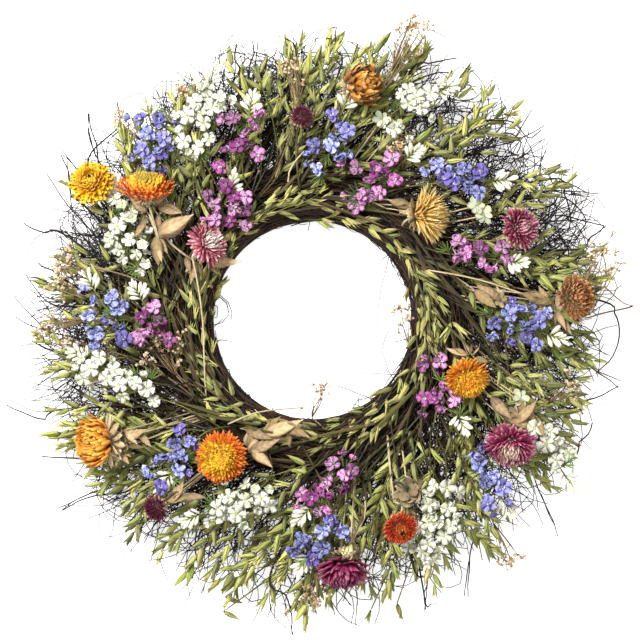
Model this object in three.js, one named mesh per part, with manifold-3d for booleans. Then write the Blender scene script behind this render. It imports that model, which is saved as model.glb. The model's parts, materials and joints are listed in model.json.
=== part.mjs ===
// A dried-flower wreath lying on its back, as a three.js scene graph in millimetres with +Z up.
// A wire ring lies in a groove under a ring of bundled stems, and binding wire holds the bundle to it.
// Brushes of fine dark twigs and bunches of oats fan out of the ring, swirling clockwise as seen from above.
// Strawflowers, larkspur spikes and sprigs of small dried flowers stand on top of them, each on its own stem.
// Every stem ends just above the bundle, and what would run through another piece is bent clear or left out.

import * as THREE from "three";
import { mergeVertices } from "three/addons/utils/BufferGeometryUtils.js";
import Module from "manifold-3d";

const wasm = await Module();
wasm.setup();

// Driving dimensions, in millimetres. A flower's place is given as a pixel of the photograph.
const PIXEL = 0.9375;
const ORIGIN_PIXEL = { x: 320, y: 322 };
const GAP = 0.4;
const SEAT = 0.3;
const SHORTEST = 0.05;
const RING = { x: -7, y: 2, radius: 122, columns: 30, ridge: 1.3 };
const GROOVE = { halfWidth: 2.6, depth: 5.6 };
const FRAME_WIRE = { radius: 1.7, height: 3.6, sides: 4 };
const BINDING = { turns: 6, radius: 0.6, start: 24, valley: 2.1, standOff: 1.7 };
const DOME = { inner: 84, outer: 305, rim: 38, rise: 54 };
// How far the oats reach from the ring's middle, each 30 degrees anticlockwise from +X.
const OUTLINE = [265, 280, 280, 255, 245, 250, 255, 256, 262, 276, 276, 270];

// Places and directions.
const radians = (degrees) => (degrees * Math.PI) / 180;
const up = new THREE.Vector3(0, 0, 1);
const at = (x, y, z) => new THREE.Vector3(x, y, z);
const around = (radius, degrees, z = 0) =>
  at(RING.x + radius * Math.cos(radians(degrees)), RING.y + radius * Math.sin(radians(degrees)), z);
const radiusOf = (p) => Math.hypot(p.x - RING.x, p.y - RING.y);
const angleOf = (p) => (Math.atan2(p.y - RING.y, p.x - RING.x) * 180) / Math.PI;

// The height of the wreath's crown over the surface, at a distance from the ring's middle.
function dome(radius) {
  const share = THREE.MathUtils.clamp((radius - DOME.inner) / (DOME.outer - DOME.inner), 0, 1);
  return DOME.rim + DOME.rise * Math.sin(Math.PI * share);
}

// The edge of the leafy body in the direction of a point.
function edgeOf(p) {
  const place = ((angleOf(p) + 360) % 360) / 30;
  const [low, share] = [Math.floor(place), place % 1];
  return OUTLINE[low % 12] * (1 - share) + OUTLINE[(low + 1) % 12] * share;
}

// The point over a pixel of the photograph, at a share of the crown's height.
function over([px, py], share) {
  const p = at((px - ORIGIN_PIXEL.x) * PIXEL, (ORIGIN_PIXEL.y - py) * PIXEL, 0);
  p.z = share * dome(radiusOf(p));
  return p;
}

// The way a flower faces: azimuth anticlockwise from +X, and tilt away from straight up.
function facing(azimuth, tilt) {
  const [a, t] = [radians(azimuth), radians(tilt)];
  return at(Math.sin(t) * Math.cos(a), Math.sin(t) * Math.sin(a), Math.cos(t));
}

// A fixed spread of values from 0 to 1, so that each draw is the same on every run.
function noise(seed, index) {
  const value = Math.sin(seed * 78.233 + index * 12.9898) * 43758.5453;
  return value - Math.floor(value);
}
const spread = (seed, index) => 2 * noise(seed, index) - 1;

// Solids.
function solidOf(geometry) {
  const bare = geometry.clone();
  bare.deleteAttribute("normal");
  bare.deleteAttribute("uv");
  const merged = mergeVertices(bare, 1e-4);
  const vertProperties = new Float32Array(merged.attributes.position.array);
  const triVerts = new Uint32Array(merged.index.array);
  return new wasm.Manifold(new wasm.Mesh({ numProp: 3, vertProperties, triVerts }));
}

// The largest body of a cut or joined solid, without edges too short to matter.
function largest(solid) {
  return solid.simplify(SHORTEST).decompose().reduce((a, b) => (b.volume() > a.volume() ? b : a));
}

// Joins solids in pairs and keeps the largest body, so that a loose scrap is dropped.
function fuse(solids) {
  let left = solids;
  while (left.length > 1) {
    const next = [];
    for (let i = 0; i < left.length; i += 2) next.push(left[i + 1] ? left[i].add(left[i + 1]) : left[i]);
    left = next;
  }
  return largest(left[0]);
}

function indexed(points, index) {
  const geometry = new THREE.BufferGeometry();
  geometry.setAttribute("position", new THREE.Float32BufferAttribute(points, 3));
  geometry.setIndex(Array.from(index));
  return geometry;
}

function meshOf(name, solid, material) {
  const { numProp, vertProperties, triVerts } = solid.getMesh();
  const points = Array.from(vertProperties).filter((_, i) => i % numProp < 3);
  const geometry = indexed(points, triVerts);
  geometry.computeVertexNormals();
  const mesh = new THREE.Mesh(geometry, material);
  mesh.name = name;
  return mesh;
}

// A closed skin over rings of points. A ring of one point is a tip, and a loop joins the last ring to the
// first.
// A shoot leaves through the panel at one side of one span, and has rings of its own that end in a tip.
// Each face has an owner, which is the shoot that it is part of.
function skin(rings, { loop = false, shoots = [] }) {
  const points = [];
  const index = [];
  const owners = [];
  const put = (ring) => ring.map((p) => points.push(p.x, p.y, p.z) / 3 - 1);
  const claim = (owner) => owners.push(...Array(index.length / 3 - owners.length).fill(owner));
  const band = (a, b) => {
    for (let i = 0, n = 0; i < a.length || n < b.length; ) {
      const turnsFirst = n >= b.length || (i < a.length && (i + 1) / a.length <= (n + 1) / b.length);
      const [from, to] = [a[i % a.length], b[n % b.length]];
      if (turnsFirst && a.length > 1) index.push(from, a[(i + 1) % a.length], to);
      if (!turnsFirst && b.length > 1) index.push(from, b[(n + 1) % b.length], to);
      if (turnsFirst) i++;
      else n++;
    }
  };
  const cap = (ring) => ring.slice(2).forEach((c, i) => index.push(ring[0], ring[i + 1], c));
  const trunk = rings.map(put);
  const spans = trunk.slice(1).map((to, k) => [trunk[k], to]);
  if (loop) spans.push([trunk.at(-1), trunk[0]]);
  spans.forEach(([from, to], span) => {
    const here = shoots.filter((shoot) => shoot.span === span);
    if (!here.length) return band(from, to);
    from.forEach((_, side) => {
      const next = (side + 1) % from.length;
      const panel = [from[side], from[next], to[next], to[side]];
      const shoot = here.find((one) => one.side === side);
      if (!shoot) return index.push(panel[0], panel[1], panel[2], panel[0], panel[2], panel[3]);
      const corners = panel.map((k) => at(points[3 * k], points[3 * k + 1], points[3 * k + 2]));
      claim(undefined);
      shoot.grow(corners, shoot.size).map(put).reduce((a, b) => (band(a, b), b), panel);
      claim(shoot);
    });
  });
  if (!loop) {
    cap(trunk[0].slice().reverse());
    cap(trunk.at(-1));
  }
  claim(undefined);
  return { points, index, owners };
}

// Whether the straight line from p to q passes through a face.
function pierces(p, q, [a, b, c]) {
  const run = q.clone().sub(p);
  const hit = new THREE.Ray(p, run.clone().normalize()).intersectTriangle(a, b, c, false, at(0, 0, 0));
  return hit !== null && hit.distanceTo(p) < run.length();
}

// The shoot whose faces cross the most faces of its skin, if any do.
function worstShoot({ points, index, owners }) {
  const faces = owners.map((owner, k) => {
    const ids = index.slice(3 * k, 3 * k + 3);
    const corners = ids.map((i) => at(points[3 * i], points[3 * i + 1], points[3 * i + 2]));
    return { owner, ids, corners, box: new THREE.Box3().setFromPoints(corners) };
  });
  const crosses = (f, g) => [0, 1, 2].some((k) => {
    const [p, q] = [k, (k + 1) % 3];
    if (g.ids.includes(f.ids[p]) || g.ids.includes(f.ids[q])) return false;
    return pierces(f.corners[p], f.corners[q], g.corners);
  });
  const counts = new Map();
  const blame = (owner) => owner && counts.set(owner, (counts.get(owner) ?? 0) + 1);
  for (let i = 0; i < faces.length; i++)
    for (let j = i + 1; j < faces.length; j++) {
      const [f, g] = [faces[i], faces[j]];
      if (!f.box.intersectsBox(g.box) || !(crosses(f, g) || crosses(g, f))) continue;
      blame(f.owner);
      if (g.owner !== f.owner) blame(g.owner);
    }
  return [...counts].sort((a, b) => b[1] - a[1])[0]?.[0];
}

// Grows a skin in which nothing crosses: the shoot that crosses most is made smaller, and at last left out.
const SHRINK = { step: 0.1, least: 0.65 };
function grown(rings, { loop = false, shoots = [], least = SHRINK.least } = {}) {
  let left = shoots.map((shoot) => ({ ...shoot, size: 1 }));
  for (;;) {
    const whole = skin(rings, { loop, shoots: left });
    const worst = worstShoot(whole);
    if (!worst) return solidOf(indexed(whole.points, whole.index));
    worst.size -= SHRINK.step;
    if (worst.size < least) left = left.filter((shoot) => shoot !== worst);
  }
}

const middleOf = (points) => points.reduce((sum, p) => sum.add(p), at(0, 0, 0)).divideScalar(points.length);

// A ring of points round a centre and across a direction, in step with the panel that its shoot leaves by.
function shootRing(corners, centre, out, count, reach, rise = () => 0) {
  const first = corners[0].clone().sub(middleOf(corners));
  const side = first.addScaledVector(out, -first.dot(out)).normalize();
  const top = new THREE.Vector3().crossVectors(out, side);
  return Array.from({ length: count }, (_, i) => {
    const turn = (2 * Math.PI * i) / count;
    const point = centre.clone().addScaledVector(out, rise(i));
    point.addScaledVector(side, reach(i) * Math.cos(turn));
    return point.addScaledVector(top, reach(i) * Math.sin(turn));
  });
}

// A pointed spikelet or bud that leaves through a panel and swells before its tip.
const pointed = (base, out, length, radius) => (corners, size) => [
  shootRing(corners, base.clone().addScaledVector(out, size * length * 0.45), out, 3, () => size * radius),
  [base.clone().addScaledVector(out, size * length)],
];

// A five-petalled floret whose funnel leaves through a panel.
const floret = (centre, normal, radius) => (corners, size) => {
  const reach = (i) => size * radius * (i % 2 ? 0.56 : 1);
  const rise = (i) => (i % 2 ? 0 : 0.2 * size * radius);
  const rim = shootRing(corners, centre, normal, 10, reach, rise);
  return [rim, [centre.clone().addScaledVector(normal, 0.05 * radius)]];
};

// A tapered stem, twig, bud or leaf along a path. A radius of 0 makes a point, and flat thins it into a blade.
function sweep(path, radii, { sides = 3, flat = 1, lift = up, shoots = [] } = {}) {
  const last = path.length - 1;
  const step = (k) => path[Math.min(k + 1, last)].clone().sub(path[Math.max(k - 1, 0)]);
  const along = path.map((_, k) => step(k).normalize());
  let side = new THREE.Vector3().crossVectors(lift, along.at(-1));
  if (side.length() < 0.1) side.set(1, 0, 0);
  const rings = [];
  for (let k = last; k >= 0; k--) {
    side = side.clone().addScaledVector(along[k], -side.dot(along[k])).normalize();
    const top = new THREE.Vector3().crossVectors(along[k], side);
    const ring = Array.from({ length: sides }, (_, i) => {
      const turn = (2 * Math.PI * i) / sides;
      const point = path[k].clone().addScaledVector(side, radii[k] * Math.cos(turn));
      return point.addScaledVector(top, radii[k] * flat * Math.sin(turn));
    });
    rings.unshift(radii[k] ? ring : [path[k]]);
  }
  return grown(rings, { shoots });
}

// Room already taken, as rods with round ends, so that a new piece can be tested against every other node.
const taken = [];
const rod = (a, b, radius) => ({ a, b, radius });
const rodsAlong = (path, radius) => path.slice(1).map((p, k) => rod(path[k], p, radius));

// A round head or floret as spokes of rod, so that its room is as flat as it is.
function spokes(centre, normal, radius, thickness, count) {
  const side = at(1, 0, 0).cross(normal).normalize();
  const top = new THREE.Vector3().crossVectors(normal, side);
  return Array.from({ length: count }, (_, i) => {
    const turn = (2 * Math.PI * (i + 0.5)) / count;
    const end = centre.clone().addScaledVector(side, (radius - thickness) * Math.cos(turn))
      .addScaledVector(top, (radius - thickness) * Math.sin(turn));
    return rod(centre, end, thickness);
  });
}

function rodDistance(p, q) {
  const [d1, d2, r] = [p.b.clone().sub(p.a), q.b.clone().sub(q.a), p.a.clone().sub(q.a)];
  const [a, e, f, c, b] = [d1.dot(d1), d2.dot(d2), d2.dot(r), d1.dot(r), d1.dot(d2)];
  const limit = (v) => THREE.MathUtils.clamp(v, 0, 1);
  const bottom = a * e - b * b;
  let s = bottom > 1e-9 ? limit((b * f - c * e) / bottom) : 0;
  const t = e > 1e-9 ? limit((b * s + f) / e) : 0;
  s = a > 1e-9 ? limit((b * t - c) / a) : 0;
  return p.a.clone().addScaledVector(d1, s).distanceTo(q.a.clone().addScaledVector(d2, t));
}

// The top of the stem ring under a point, and 0 beside the ring.
function ringTop(p) {
  const off = (radiusOf(p) - RING.radius) / 27;
  return Math.abs(off) < 1 ? 41 * Math.sqrt(1 - off * off) : 0;
}

const isApart = (owner, rods) =>
  rods.every((r) => taken.every((t) => t.owner === owner || rodDistance(r, t) > r.radius + t.radius + GAP));
const isAbove = (rods) =>
  rods.every((r) => [r.a, r.b].every((p) => p.z > ringTop(p) * 0.98 + r.radius && p.z > r.radius + 1));
const isFree = (owner, rods) => isAbove(rods) && isApart(owner, rods);
const keep = (owner, rods) => rods.forEach((r) => taken.push({ ...r, owner }));

// The ring of bundled stems: a flat-backed section with a groove for the wire ring, ridged like twisted stems.
const SECTION = [
  [-GROOVE.halfWidth, 0], [-17, 0], [-23.5, 8], [-25, 18], [-20, 30], [-9, 37], [3, 38.5], [14, 35.5],
  [22, 27], [25, 16], [22, 7], [17, 0], [GROOVE.halfWidth, 0],
  [GROOVE.halfWidth, GROOVE.depth], [-GROOVE.halfWidth, GROOVE.depth],
];
const RIDGED = { first: 3, last: 8 };
const columnAngle = (j) => (360 * j) / RING.columns;
const columnOf = (degrees) => (degrees * RING.columns) / 360;
const tiedAt = (k) => columnOf(BINDING.start + (360 * k) / BINDING.turns);
const valleyColumns = new Set(Array.from({ length: BINDING.turns }, (_, k) => Math.round(tiedAt(k))));

function sectionPoint(i, j, standOff = 0) {
  const [across, high] = SECTION[i];
  const ridged = i >= RIDGED.first && i <= RIDGED.last;
  const grow = standOff + (ridged ? RING.ridge * Math.cos(Math.PI * (i + (4 * j) / RING.columns)) : 0);
  const out = at(across / 25, (high - 16) / 22, 0).normalize();
  const z = high === 0 && valleyColumns.has(j % RING.columns) ? BINDING.valley : high;
  return around(RING.radius + across + grow * out.x, columnAngle(j), z + (high ? grow * out.y : 0));
}

function stemRing() {
  const rings = Array.from({ length: RING.columns }, (_, j) => SECTION.map((_, i) => sectionPoint(i, j)));
  return grown(rings, { loop: true });
}

function frameRing() {
  const { radius, height, sides } = FRAME_WIRE;
  const ring = new THREE.TorusGeometry(RING.radius, radius, sides, RING.columns);
  return solidOf(ring.translate(RING.x, RING.y, height));
}

// One wire, under the bundle in a shallow valley and back over its top to the next valley, once for each turn.
const OVER_THE_TOP = [
  [0.02, 10], [0.06, 9], [0.14, 8], [0.26, 7], [0.4, 6], [0.54, 5], [0.7, 4], [0.86, 3], [0.96, 2],
];
function bindingPath() {
  const { turns, radius, standOff } = BINDING;
  const low = radius + 0.25;
  const columns = RING.columns / turns;
  const path = [];
  for (let k = 0; k < turns; k++) {
    const first = tiedAt(k);
    path.push(...[-19, 19].map((across) => around(RING.radius + across, columnAngle(first), low)));
    for (const [share, i] of OVER_THE_TOP)
      if (k < turns - 1 || share < 0.4) path.push(sectionPoint(i, first + share * columns, standOff));
  }
  return path;
}

// The stem ring's top under a point, found by a ray from above.
let bundle;
function ringSurface(p) {
  const ray = new THREE.Raycaster(at(p.x, p.y, 200), at(0, 0, -1));
  return p.clone().setZ(ray.intersectObject(bundle)[0]?.point.z ?? 0);
}

// Finds a free stem from the ring to the foot of a head, and takes its room.
const ROOT_OFFSETS = [10, 6, 14, 2, 18, -2, 22, -6, 26, -10, 30, -14, 36, -20, 42, -26];
const ROOT_RADII = [122, 114, 130, 107, 138, 101];
const STEM_REACHES = [0.45, 0.25, 0.7];
function stemTo(owner, foot, leaving, stemRadius) {
  let first;
  for (const share of STEM_REACHES)
    for (const rise of [16, 8, 24])
      for (const radius of ROOT_RADII)
        for (const offset of ROOT_OFFSETS) {
          const root = ringSurface(around(radius, angleOf(foot) + offset));
          const reach = Math.min(50, root.distanceTo(foot) * share);
          const curve = new THREE.CubicBezierCurve3(
            root, root.clone().addScaledVector(up, rise), foot.clone().addScaledVector(leaving, -reach), foot);
          const path = curve.getPoints(4);
          const rods = rodsAlong(path, stemRadius);
          const lifted = rodsAlong([path[0].clone().lerp(path[1], 0.3), ...path.slice(1)], stemRadius);
          first ??= path;
          if (isAbove(lifted) && isApart(owner, rods)) {
            keep(owner, rods);
            return path;
          }
        }
  console.warn("no free stem for " + owner);
  keep(owner, rodsAlong(first, stemRadius));
  return first;
}

// Seats a piece's root on the stem ring: what would run into the ring is cut back to a thin gap over it.
let seatedRing;
const seated = (solid) => largest(solid.subtract(seatedRing));

const stemSolid = (path, radius) => sweep(path, path.map(() => radius));

// A leaf on a thin stalk from its joint: a blade of diamond section, arched along its length.
function leafSolid(joint, base, tip, width, arch = 3) {
  const run = tip.clone().sub(base);
  const lift = run.clone().cross(up).normalize().cross(run).normalize();
  const middle = base.clone().lerp(tip, 0.4).addScaledVector(lift, arch);
  return sweep([joint, base, middle, tip], [0, 0.9, width * 0.5, 0], { sides: 4, flat: 0.2, lift });
}

// A strawflower head: pointed bracts in three whorls round an eye, raised from a ball by a formula.
// Each whorl gives tip and notch radii, the height, the rise with the cup, and a half-step turn.
const WHORLS = [
  { tip: 0.56, notch: 0.4, height: 0.42, cup: 0.45 },
  { tip: 0.54, notch: 0.5, height: 0.17, cup: 0.1 },
  { tip: 0.86, notch: 0.62, height: 0.26, cup: 0.75, turned: true },
  { tip: 1.0, notch: 0.72, height: -0.02, cup: 1 },
];
function bloomHead(centre, normal, radius, cup, tips) {
  const ball = new THREE.SphereGeometry(1, 2 * tips, WHORLS.length + 1);
  const position = ball.attributes.position;
  for (let row = 0, k = 0; row <= WHORLS.length + 1; row++)
    for (let column = 0; column <= 2 * tips; column++, k++) {
      const whorl = WHORLS[row - 1];
      if (!whorl) position.setXYZ(k, 0, radius * (row ? -0.42 : 0.3), 0);
      else {
        const pointed = (column + (whorl.turned ? 1 : 0)) % 2 === 0;
        const reach = radius * (pointed ? whorl.tip : whorl.notch);
        const turn = (Math.PI * (column % (2 * tips))) / tips;
        const high = radius * (whorl.height + cup * whorl.cup * (pointed ? 1 : 0.6));
        position.setXYZ(k, -Math.cos(turn) * reach, high, Math.sin(turn) * reach);
      }
    }
  ball.applyQuaternion(new THREE.Quaternion().setFromUnitVectors(at(0, 1, 0), normal));
  return solidOf(ball.translate(centre.x, centre.y, centre.z));
}

// Strawflowers: pixel, head diameter, the way it faces, cup, bract tips, and its leaves as pairs of pixels.
const BLOOMS = {
  yellow_northwest: { pixel: [93, 184], size: 45, azimuth: 110, tilt: 28, cup: 0.0, colour: "gold" },
  orange_northwest: {
    pixel: [147, 190], size: 47, azimuth: 92, tilt: 66, cup: 0.34, colour: "orange",
    leaves: [
      [148, 218, 134, 196], [150, 212, 172, 190], [152, 240, 193, 216],
      [156, 232, 158, 268], [158, 208, 180, 215],
    ],
  },
  pink_west: {
    pixel: [207, 244], size: 41, azimuth: 30, tilt: 42, cup: 0.1, colour: "pink",
    leaves: [[196, 262, 189, 284], [206, 262, 234, 262]],
  },
  orange_north: { pixel: [360, 86], size: 42, azimuth: 15, tilt: 48, cup: 0.2, colour: "amber" },
  amber_northeast: {
    pixel: [428, 215], size: 47, azimuth: 5, tilt: 68, cup: 0.2, colour: "amber",
    leaves: [[412, 207, 390, 200], [412, 212, 409, 232]],
  },
  mauve_east: { pixel: [519, 229], size: 40, azimuth: 15, tilt: 38, cup: 0.05, colour: "magenta" },
  rust_east: {
    pixel: [574, 298], size: 43, azimuth: 12, tilt: 40, cup: 0.1, colour: "rust",
    leaves: [
      [500, 300, 476, 286], [540, 300, 556, 286], [552, 306, 520, 292],
      [556, 310, 566, 330], [546, 308, 530, 318],
    ],
  },
  orange_east: { pixel: [467, 378], size: 43, azimuth: -80, tilt: 30, cup: 0.05, colour: "orange" },
  magenta_southeast: {
    pixel: [510, 444], size: 48, azimuth: -100, tilt: 46, cup: 0.1, colour: "magenta",
    leaves: [[512, 424, 490, 392], [514, 424, 536, 404], [508, 426, 484, 438], [506, 420, 520, 398]],
  },
  orange_west: {
    pixel: [98, 441], size: 49, azimuth: 182, tilt: 58, cup: 0.15, colour: "orange",
    leaves: [[116, 440, 122, 424], [120, 440, 144, 430], [118, 446, 134, 458], [116, 448, 118, 466]],
  },
  gold_southwest: {
    pixel: [221, 457], size: 50, azimuth: 200, tilt: 12, cup: -0.04, colour: "gold",
    leaves: [[246, 446, 262, 430], [248, 452, 276, 442], [262, 436, 304, 428]],
  },
  red_south: {
    pixel: [400, 527], size: 34, azimuth: -70, tilt: 28, cup: 0.05, colour: "red",
    leaves: [
      [404, 506, 388, 486], [406, 504, 402, 478], [408, 504, 420, 480],
      [404, 508, 384, 500], [408, 508, 416, 514],
    ],
  },
  crimson_south: { pixel: [343, 568], size: 45, azimuth: -94, tilt: 62, cup: 0.2, colour: "crimson" },
  crimson_southwest: {
    pixel: [157, 507], size: 29, azimuth: -140, tilt: 44, cup: 0.05, colour: "crimson",
    leaves: [[168, 500, 178, 482], [170, 500, 192, 488], [166, 498, 154, 494], [172, 502, 196, 500]],
  },
  crimson_north: { pixel: [302, 118], size: 26, azimuth: 60, tilt: 30, cup: 0.1, colour: "crimson" },
};
const BLOOM = { share: 0.94, bracts: 8, smallBracts: 7, smallSize: 35, stem: 1.3, leafWidth: 11 };

function strawflower(owner, spec) {
  const centre = over(spec.pixel, BLOOM.share);
  const normal = facing(spec.azimuth, spec.tilt);
  const radius = spec.size / 2;
  const middle = centre.clone().addScaledVector(normal, 0.06 * radius);
  keep(owner, spokes(middle, normal, radius * 1.02, radius * 0.4, 8));
  const foot = centre.clone().addScaledVector(normal, -0.36 * radius);
  return { centre, normal, radius, foot };
}

function bloomSolids(owner, spec) {
  const { centre, normal, radius, foot } = spec.head;
  const tips = spec.size < BLOOM.smallSize ? BLOOM.smallBracts : BLOOM.bracts;
  const path = stemTo(owner, foot, normal, BLOOM.stem);
  const solids = [bloomHead(centre, normal, radius, spec.cup, tips), stemSolid(path, BLOOM.stem)];
  const nearest = (p) => path.slice(1, -1).reduce((a, b) => (b.distanceTo(p) < a.distanceTo(p) ? b : a));
  for (const [x0, y0, x1, y1] of spec.leaves ?? []) {
    const [base, tip] = [over([x0, y0], 0.84), over([x1, y1], 0.86)];
    const joint = nearest(base);
    const crest = base.clone().lerp(tip, 0.4).add(at(0, 0, 2.5));
    const blade = rodsAlong([base, crest, tip], BLOOM.leafWidth * 0.45);
    const stalk = [rod(joint, base, 0.7)];
    if (!isFree(owner, [...blade, ...stalk])) continue;
    keep(owner, [...blade, ...stalk]);
    solids.push(leafSolid(joint, base, tip, BLOOM.leafWidth));
  }
  return solids;
}

// Larkspur spikes: foot and tip pixels of the flowering length, and the pixel of each open floret.
const SPIKES = {
  blue_northwest: {
    line: [160, 160, 148, 112],
    florets: [[142, 119], [158, 121], [149, 134], [163, 140], [144, 149], [161, 155]],
  },
  blue_north: {
    line: [322, 176, 345, 104],
    florets: [[333, 117], [347, 131], [316, 146], [331, 146], [336, 158], [318, 170]],
  },
  blue_northeast: {
    line: [432, 184, 497, 181],
    florets: [[438, 166], [441, 180], [462, 170], [455, 184], [477, 192], [482, 174]],
  },
  blue_east: {
    line: [486, 316, 552, 336],
    florets: [[518, 309], [493, 322], [511, 328], [538, 320], [524, 340], [535, 343]],
  },
  blue_west: {
    line: [124, 334, 92, 286],
    florets: [[95, 300], [113, 299], [118, 311], [90, 315], [98, 333], [124, 338]],
  },
  blue_southwest: {
    line: [192, 444, 156, 496],
    florets: [[175, 443], [189, 441], [165, 456], [149, 473], [178, 471], [162, 486]],
  },
  blue_south: {
    line: [332, 512, 306, 560],
    florets: [[331, 516], [323, 530], [340, 529], [303, 539], [322, 548], [311, 558]],
  },
  blue_southeast: {
    line: [468, 448, 506, 504],
    florets: [[473, 452], [484, 480], [502, 487], [488, 502]],
  },
  pink_northwest: {
    line: [226, 226, 232, 188],
    florets: [[226, 186], [244, 197], [233, 208], [212, 205], [216, 219], [230, 222]],
  },
  pink_north: {
    line: [242, 158, 250, 108],
    florets: [[234, 120], [255, 116], [238, 147], [257, 155], [222, 166]],
  },
  pink_northeast: {
    line: [348, 210, 410, 156],
    florets: [[357, 168], [375, 172], [392, 160], [394, 180], [378, 192], [357, 206]],
  },
  pink_east: {
    line: [450, 254, 512, 262],
    florets: [[457, 242], [463, 259], [479, 250], [501, 248], [492, 270]],
  },
  pink_west: {
    line: [168, 346, 140, 296],
    florets: [[155, 307], [144, 316], [159, 322], [142, 337], [168, 340]],
  },
  pink_southeast: {
    line: [426, 356, 460, 420],
    florets: [[440, 361], [424, 364], [441, 382], [425, 397], [455, 401], [441, 411]],
  },
  pink_south: {
    line: [350, 462, 306, 512],
    florets: [[333, 464], [355, 473], [328, 483], [333, 494], [311, 497], [326, 508]],
  },
  white_west: {
    line: [140, 266, 120, 192],
    florets: [[124, 208], [134, 218], [119, 226], [130, 240], [144, 246], [120, 250], [146, 262]],
  },
  white_northwest: {
    line: [196, 152, 212, 78],
    florets: [[207, 90], [196, 102], [212, 108], [188, 116], [184, 142], [199, 148]],
  },
  white_southwest: {
    line: [262, 486, 196, 516],
    florets: [[255, 489], [229, 497], [246, 499], [218, 507], [237, 513], [218, 515]],
  },
  white_southeast: {
    line: [446, 484, 430, 556],
    florets: [[446, 487], [428, 504], [447, 508], [429, 522], [444, 536], [428, 544]],
  },
  white_southwest_outer: {
    line: [152, 382, 84, 356],
    florets: [[100, 358], [91, 368], [108, 378], [120, 384], [137, 383], [148, 389]],
  },
  white_northeast: {
    line: [398, 110, 442, 90],
    florets: [[394, 130], [416, 98], [430, 94], [421, 108]],
  },
  white_east: {
    line: [524, 424, 568, 478],
    florets: [[534, 428], [546, 444], [556, 460]],
  },
};
const SPIKE = {
  share: 0.8, floretShare: 0.87, floret: 7.8, stem: 1.0, node: 2.2, apart: 5.2, last: 0.88, paired: 0.17,
  bud: 9, budRadius: 1.8,
};

function spikeAxis({ line: [x0, y0, x1, y1] }) {
  const [foot, tip] = [over([x0, y0], SPIKE.share), over([x1, y1], SPIKE.share)];
  return { foot, tip, along: tip.clone().sub(foot).normalize(), length: foot.distanceTo(tip) };
}

// The florets that find room, as pairs of one on the left and one on the right of each node of the spike.
function spikeNodes(owner, florets, { foot, tip, along, length }) {
  const left = up.clone().cross(along).normalize();
  const sides = [[], []];
  const own = [];
  for (const pixel of florets) {
    const centre = over(pixel, SPIKE.floretShare);
    const out = centre.clone().sub(foot);
    const share = THREE.MathUtils.clamp(out.dot(along) / length - 0.06, 0.04, 0.86);
    const joint = foot.clone().lerp(tip, share);
    const normal = centre.clone().sub(joint).setZ(0).normalize().multiplyScalar(0.3).add(up).normalize();
    const rods = spokes(centre, normal, SPIKE.floret, 2, 5);
    const crowded = own.some((o) => rods.some((r) => rodDistance(o, r) < 2.6));
    if (crowded || !isFree(owner, [...rods, rod(joint, centre, 1.5)])) continue;
    keep(owner, [...rods, rod(joint, centre, 1.5)]);
    own.push(...rods);
    sides[out.dot(left) > 0 ? 0 : 1].push({ share, centre, normal });
  }
  sides.forEach((side) => side.sort((a, b) => a.share - b.share));
  const nodes = [];
  while (sides[0].length || sides[1].length) {
    const [a, b] = [sides[0][0], sides[1][0]];
    const paired = a && b && Math.abs(a.share - b.share) < SPIKE.paired;
    const leftNext = paired || !b || (a && a.share < b.share);
    const rightNext = paired || !leftNext;
    const members = [leftNext ? sides[0].shift() : undefined, rightNext ? sides[1].shift() : undefined];
    const shares = members.filter(Boolean).map((member) => member.share);
    const mean = shares.reduce((sum, share) => sum + share) / shares.length;
    const before = nodes.length ? nodes.at(-1).share : -SPIKE.apart / (2 * length);
    nodes.push({ share: Math.max(mean, before + SPIKE.apart / length), members });
  }
  const squeeze = Math.min(1, SPIKE.last / (nodes.at(-1)?.share ?? 1));
  return nodes.map(({ share, members }) => ({ share: share * squeeze, members }));
}

function spikeSolid(owner, { florets, spine }) {
  const { foot, tip, along, length } = spine;
  const path = stemTo(owner, foot, along, SPIKE.stem);
  const shoots = [];
  const end = foot.clone().addScaledVector(along, length);
  for (const { share, members } of spikeNodes(owner, florets, spine)) {
    const middle = foot.clone().lerp(tip, share);
    path.push(...[-SPIKE.node, SPIKE.node].map((step) => middle.clone().addScaledVector(along, step)));
    members.forEach((member, side) => {
      if (!member) return;
      shoots.push({ span: path.length - 2, side, grow: floret(member.centre, member.normal, SPIKE.floret) });
    });
  }
  const left = up.clone().cross(along).normalize();
  path.push(end.clone().addScaledVector(along, -2), end);
  [1, -1].forEach((hand, side) => {
    const out = left.clone().multiplyScalar(hand * 0.8).add(along).normalize();
    const rods = [rod(end, end.clone().addScaledVector(out, SPIKE.bud), SPIKE.budRadius)];
    if (!isFree(owner, rods)) return;
    keep(owner, rods);
    shoots.push({ span: path.length - 2, side, grow: pointed(end, out, SPIKE.bud, SPIKE.budRadius) });
  });
  const widths = [...path.map(() => SPIKE.stem), SPIKE.budRadius, 0];
  path.push(...[0.6, 1.1].map((share) => end.clone().addScaledVector(along, SPIKE.bud * share)));
  return sweep(path, widths, { shoots });
}

// Sprigs of small dried flowers: foot pixel, and the pixel of each little head.
const SPRIGS = {
  tan_north: { foot: [384, 88], heads: [[412, 16], [424, 36], [400, 30], [420, 48], [408, 44]] },
  tan_northwest: { foot: [298, 104], heads: [[282, 68], [294, 64], [306, 74], [288, 82], [300, 86]] },
  tan_west: { foot: [176, 372], heads: [[186, 334], [172, 344], [156, 350], [182, 352], [165, 356]] },
  tan_southwest: { foot: [84, 268], heads: [[72, 248], [58, 266], [50, 286], [42, 304], [62, 296]] },
  tan_east: { foot: [590, 316], heads: [[604, 254], [624, 262], [590, 268], [612, 272], [636, 306]] },
};
const SPRIG = { share: 0.7, stem: 1.0, twig: 0.7, head: 3.4 };

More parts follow.
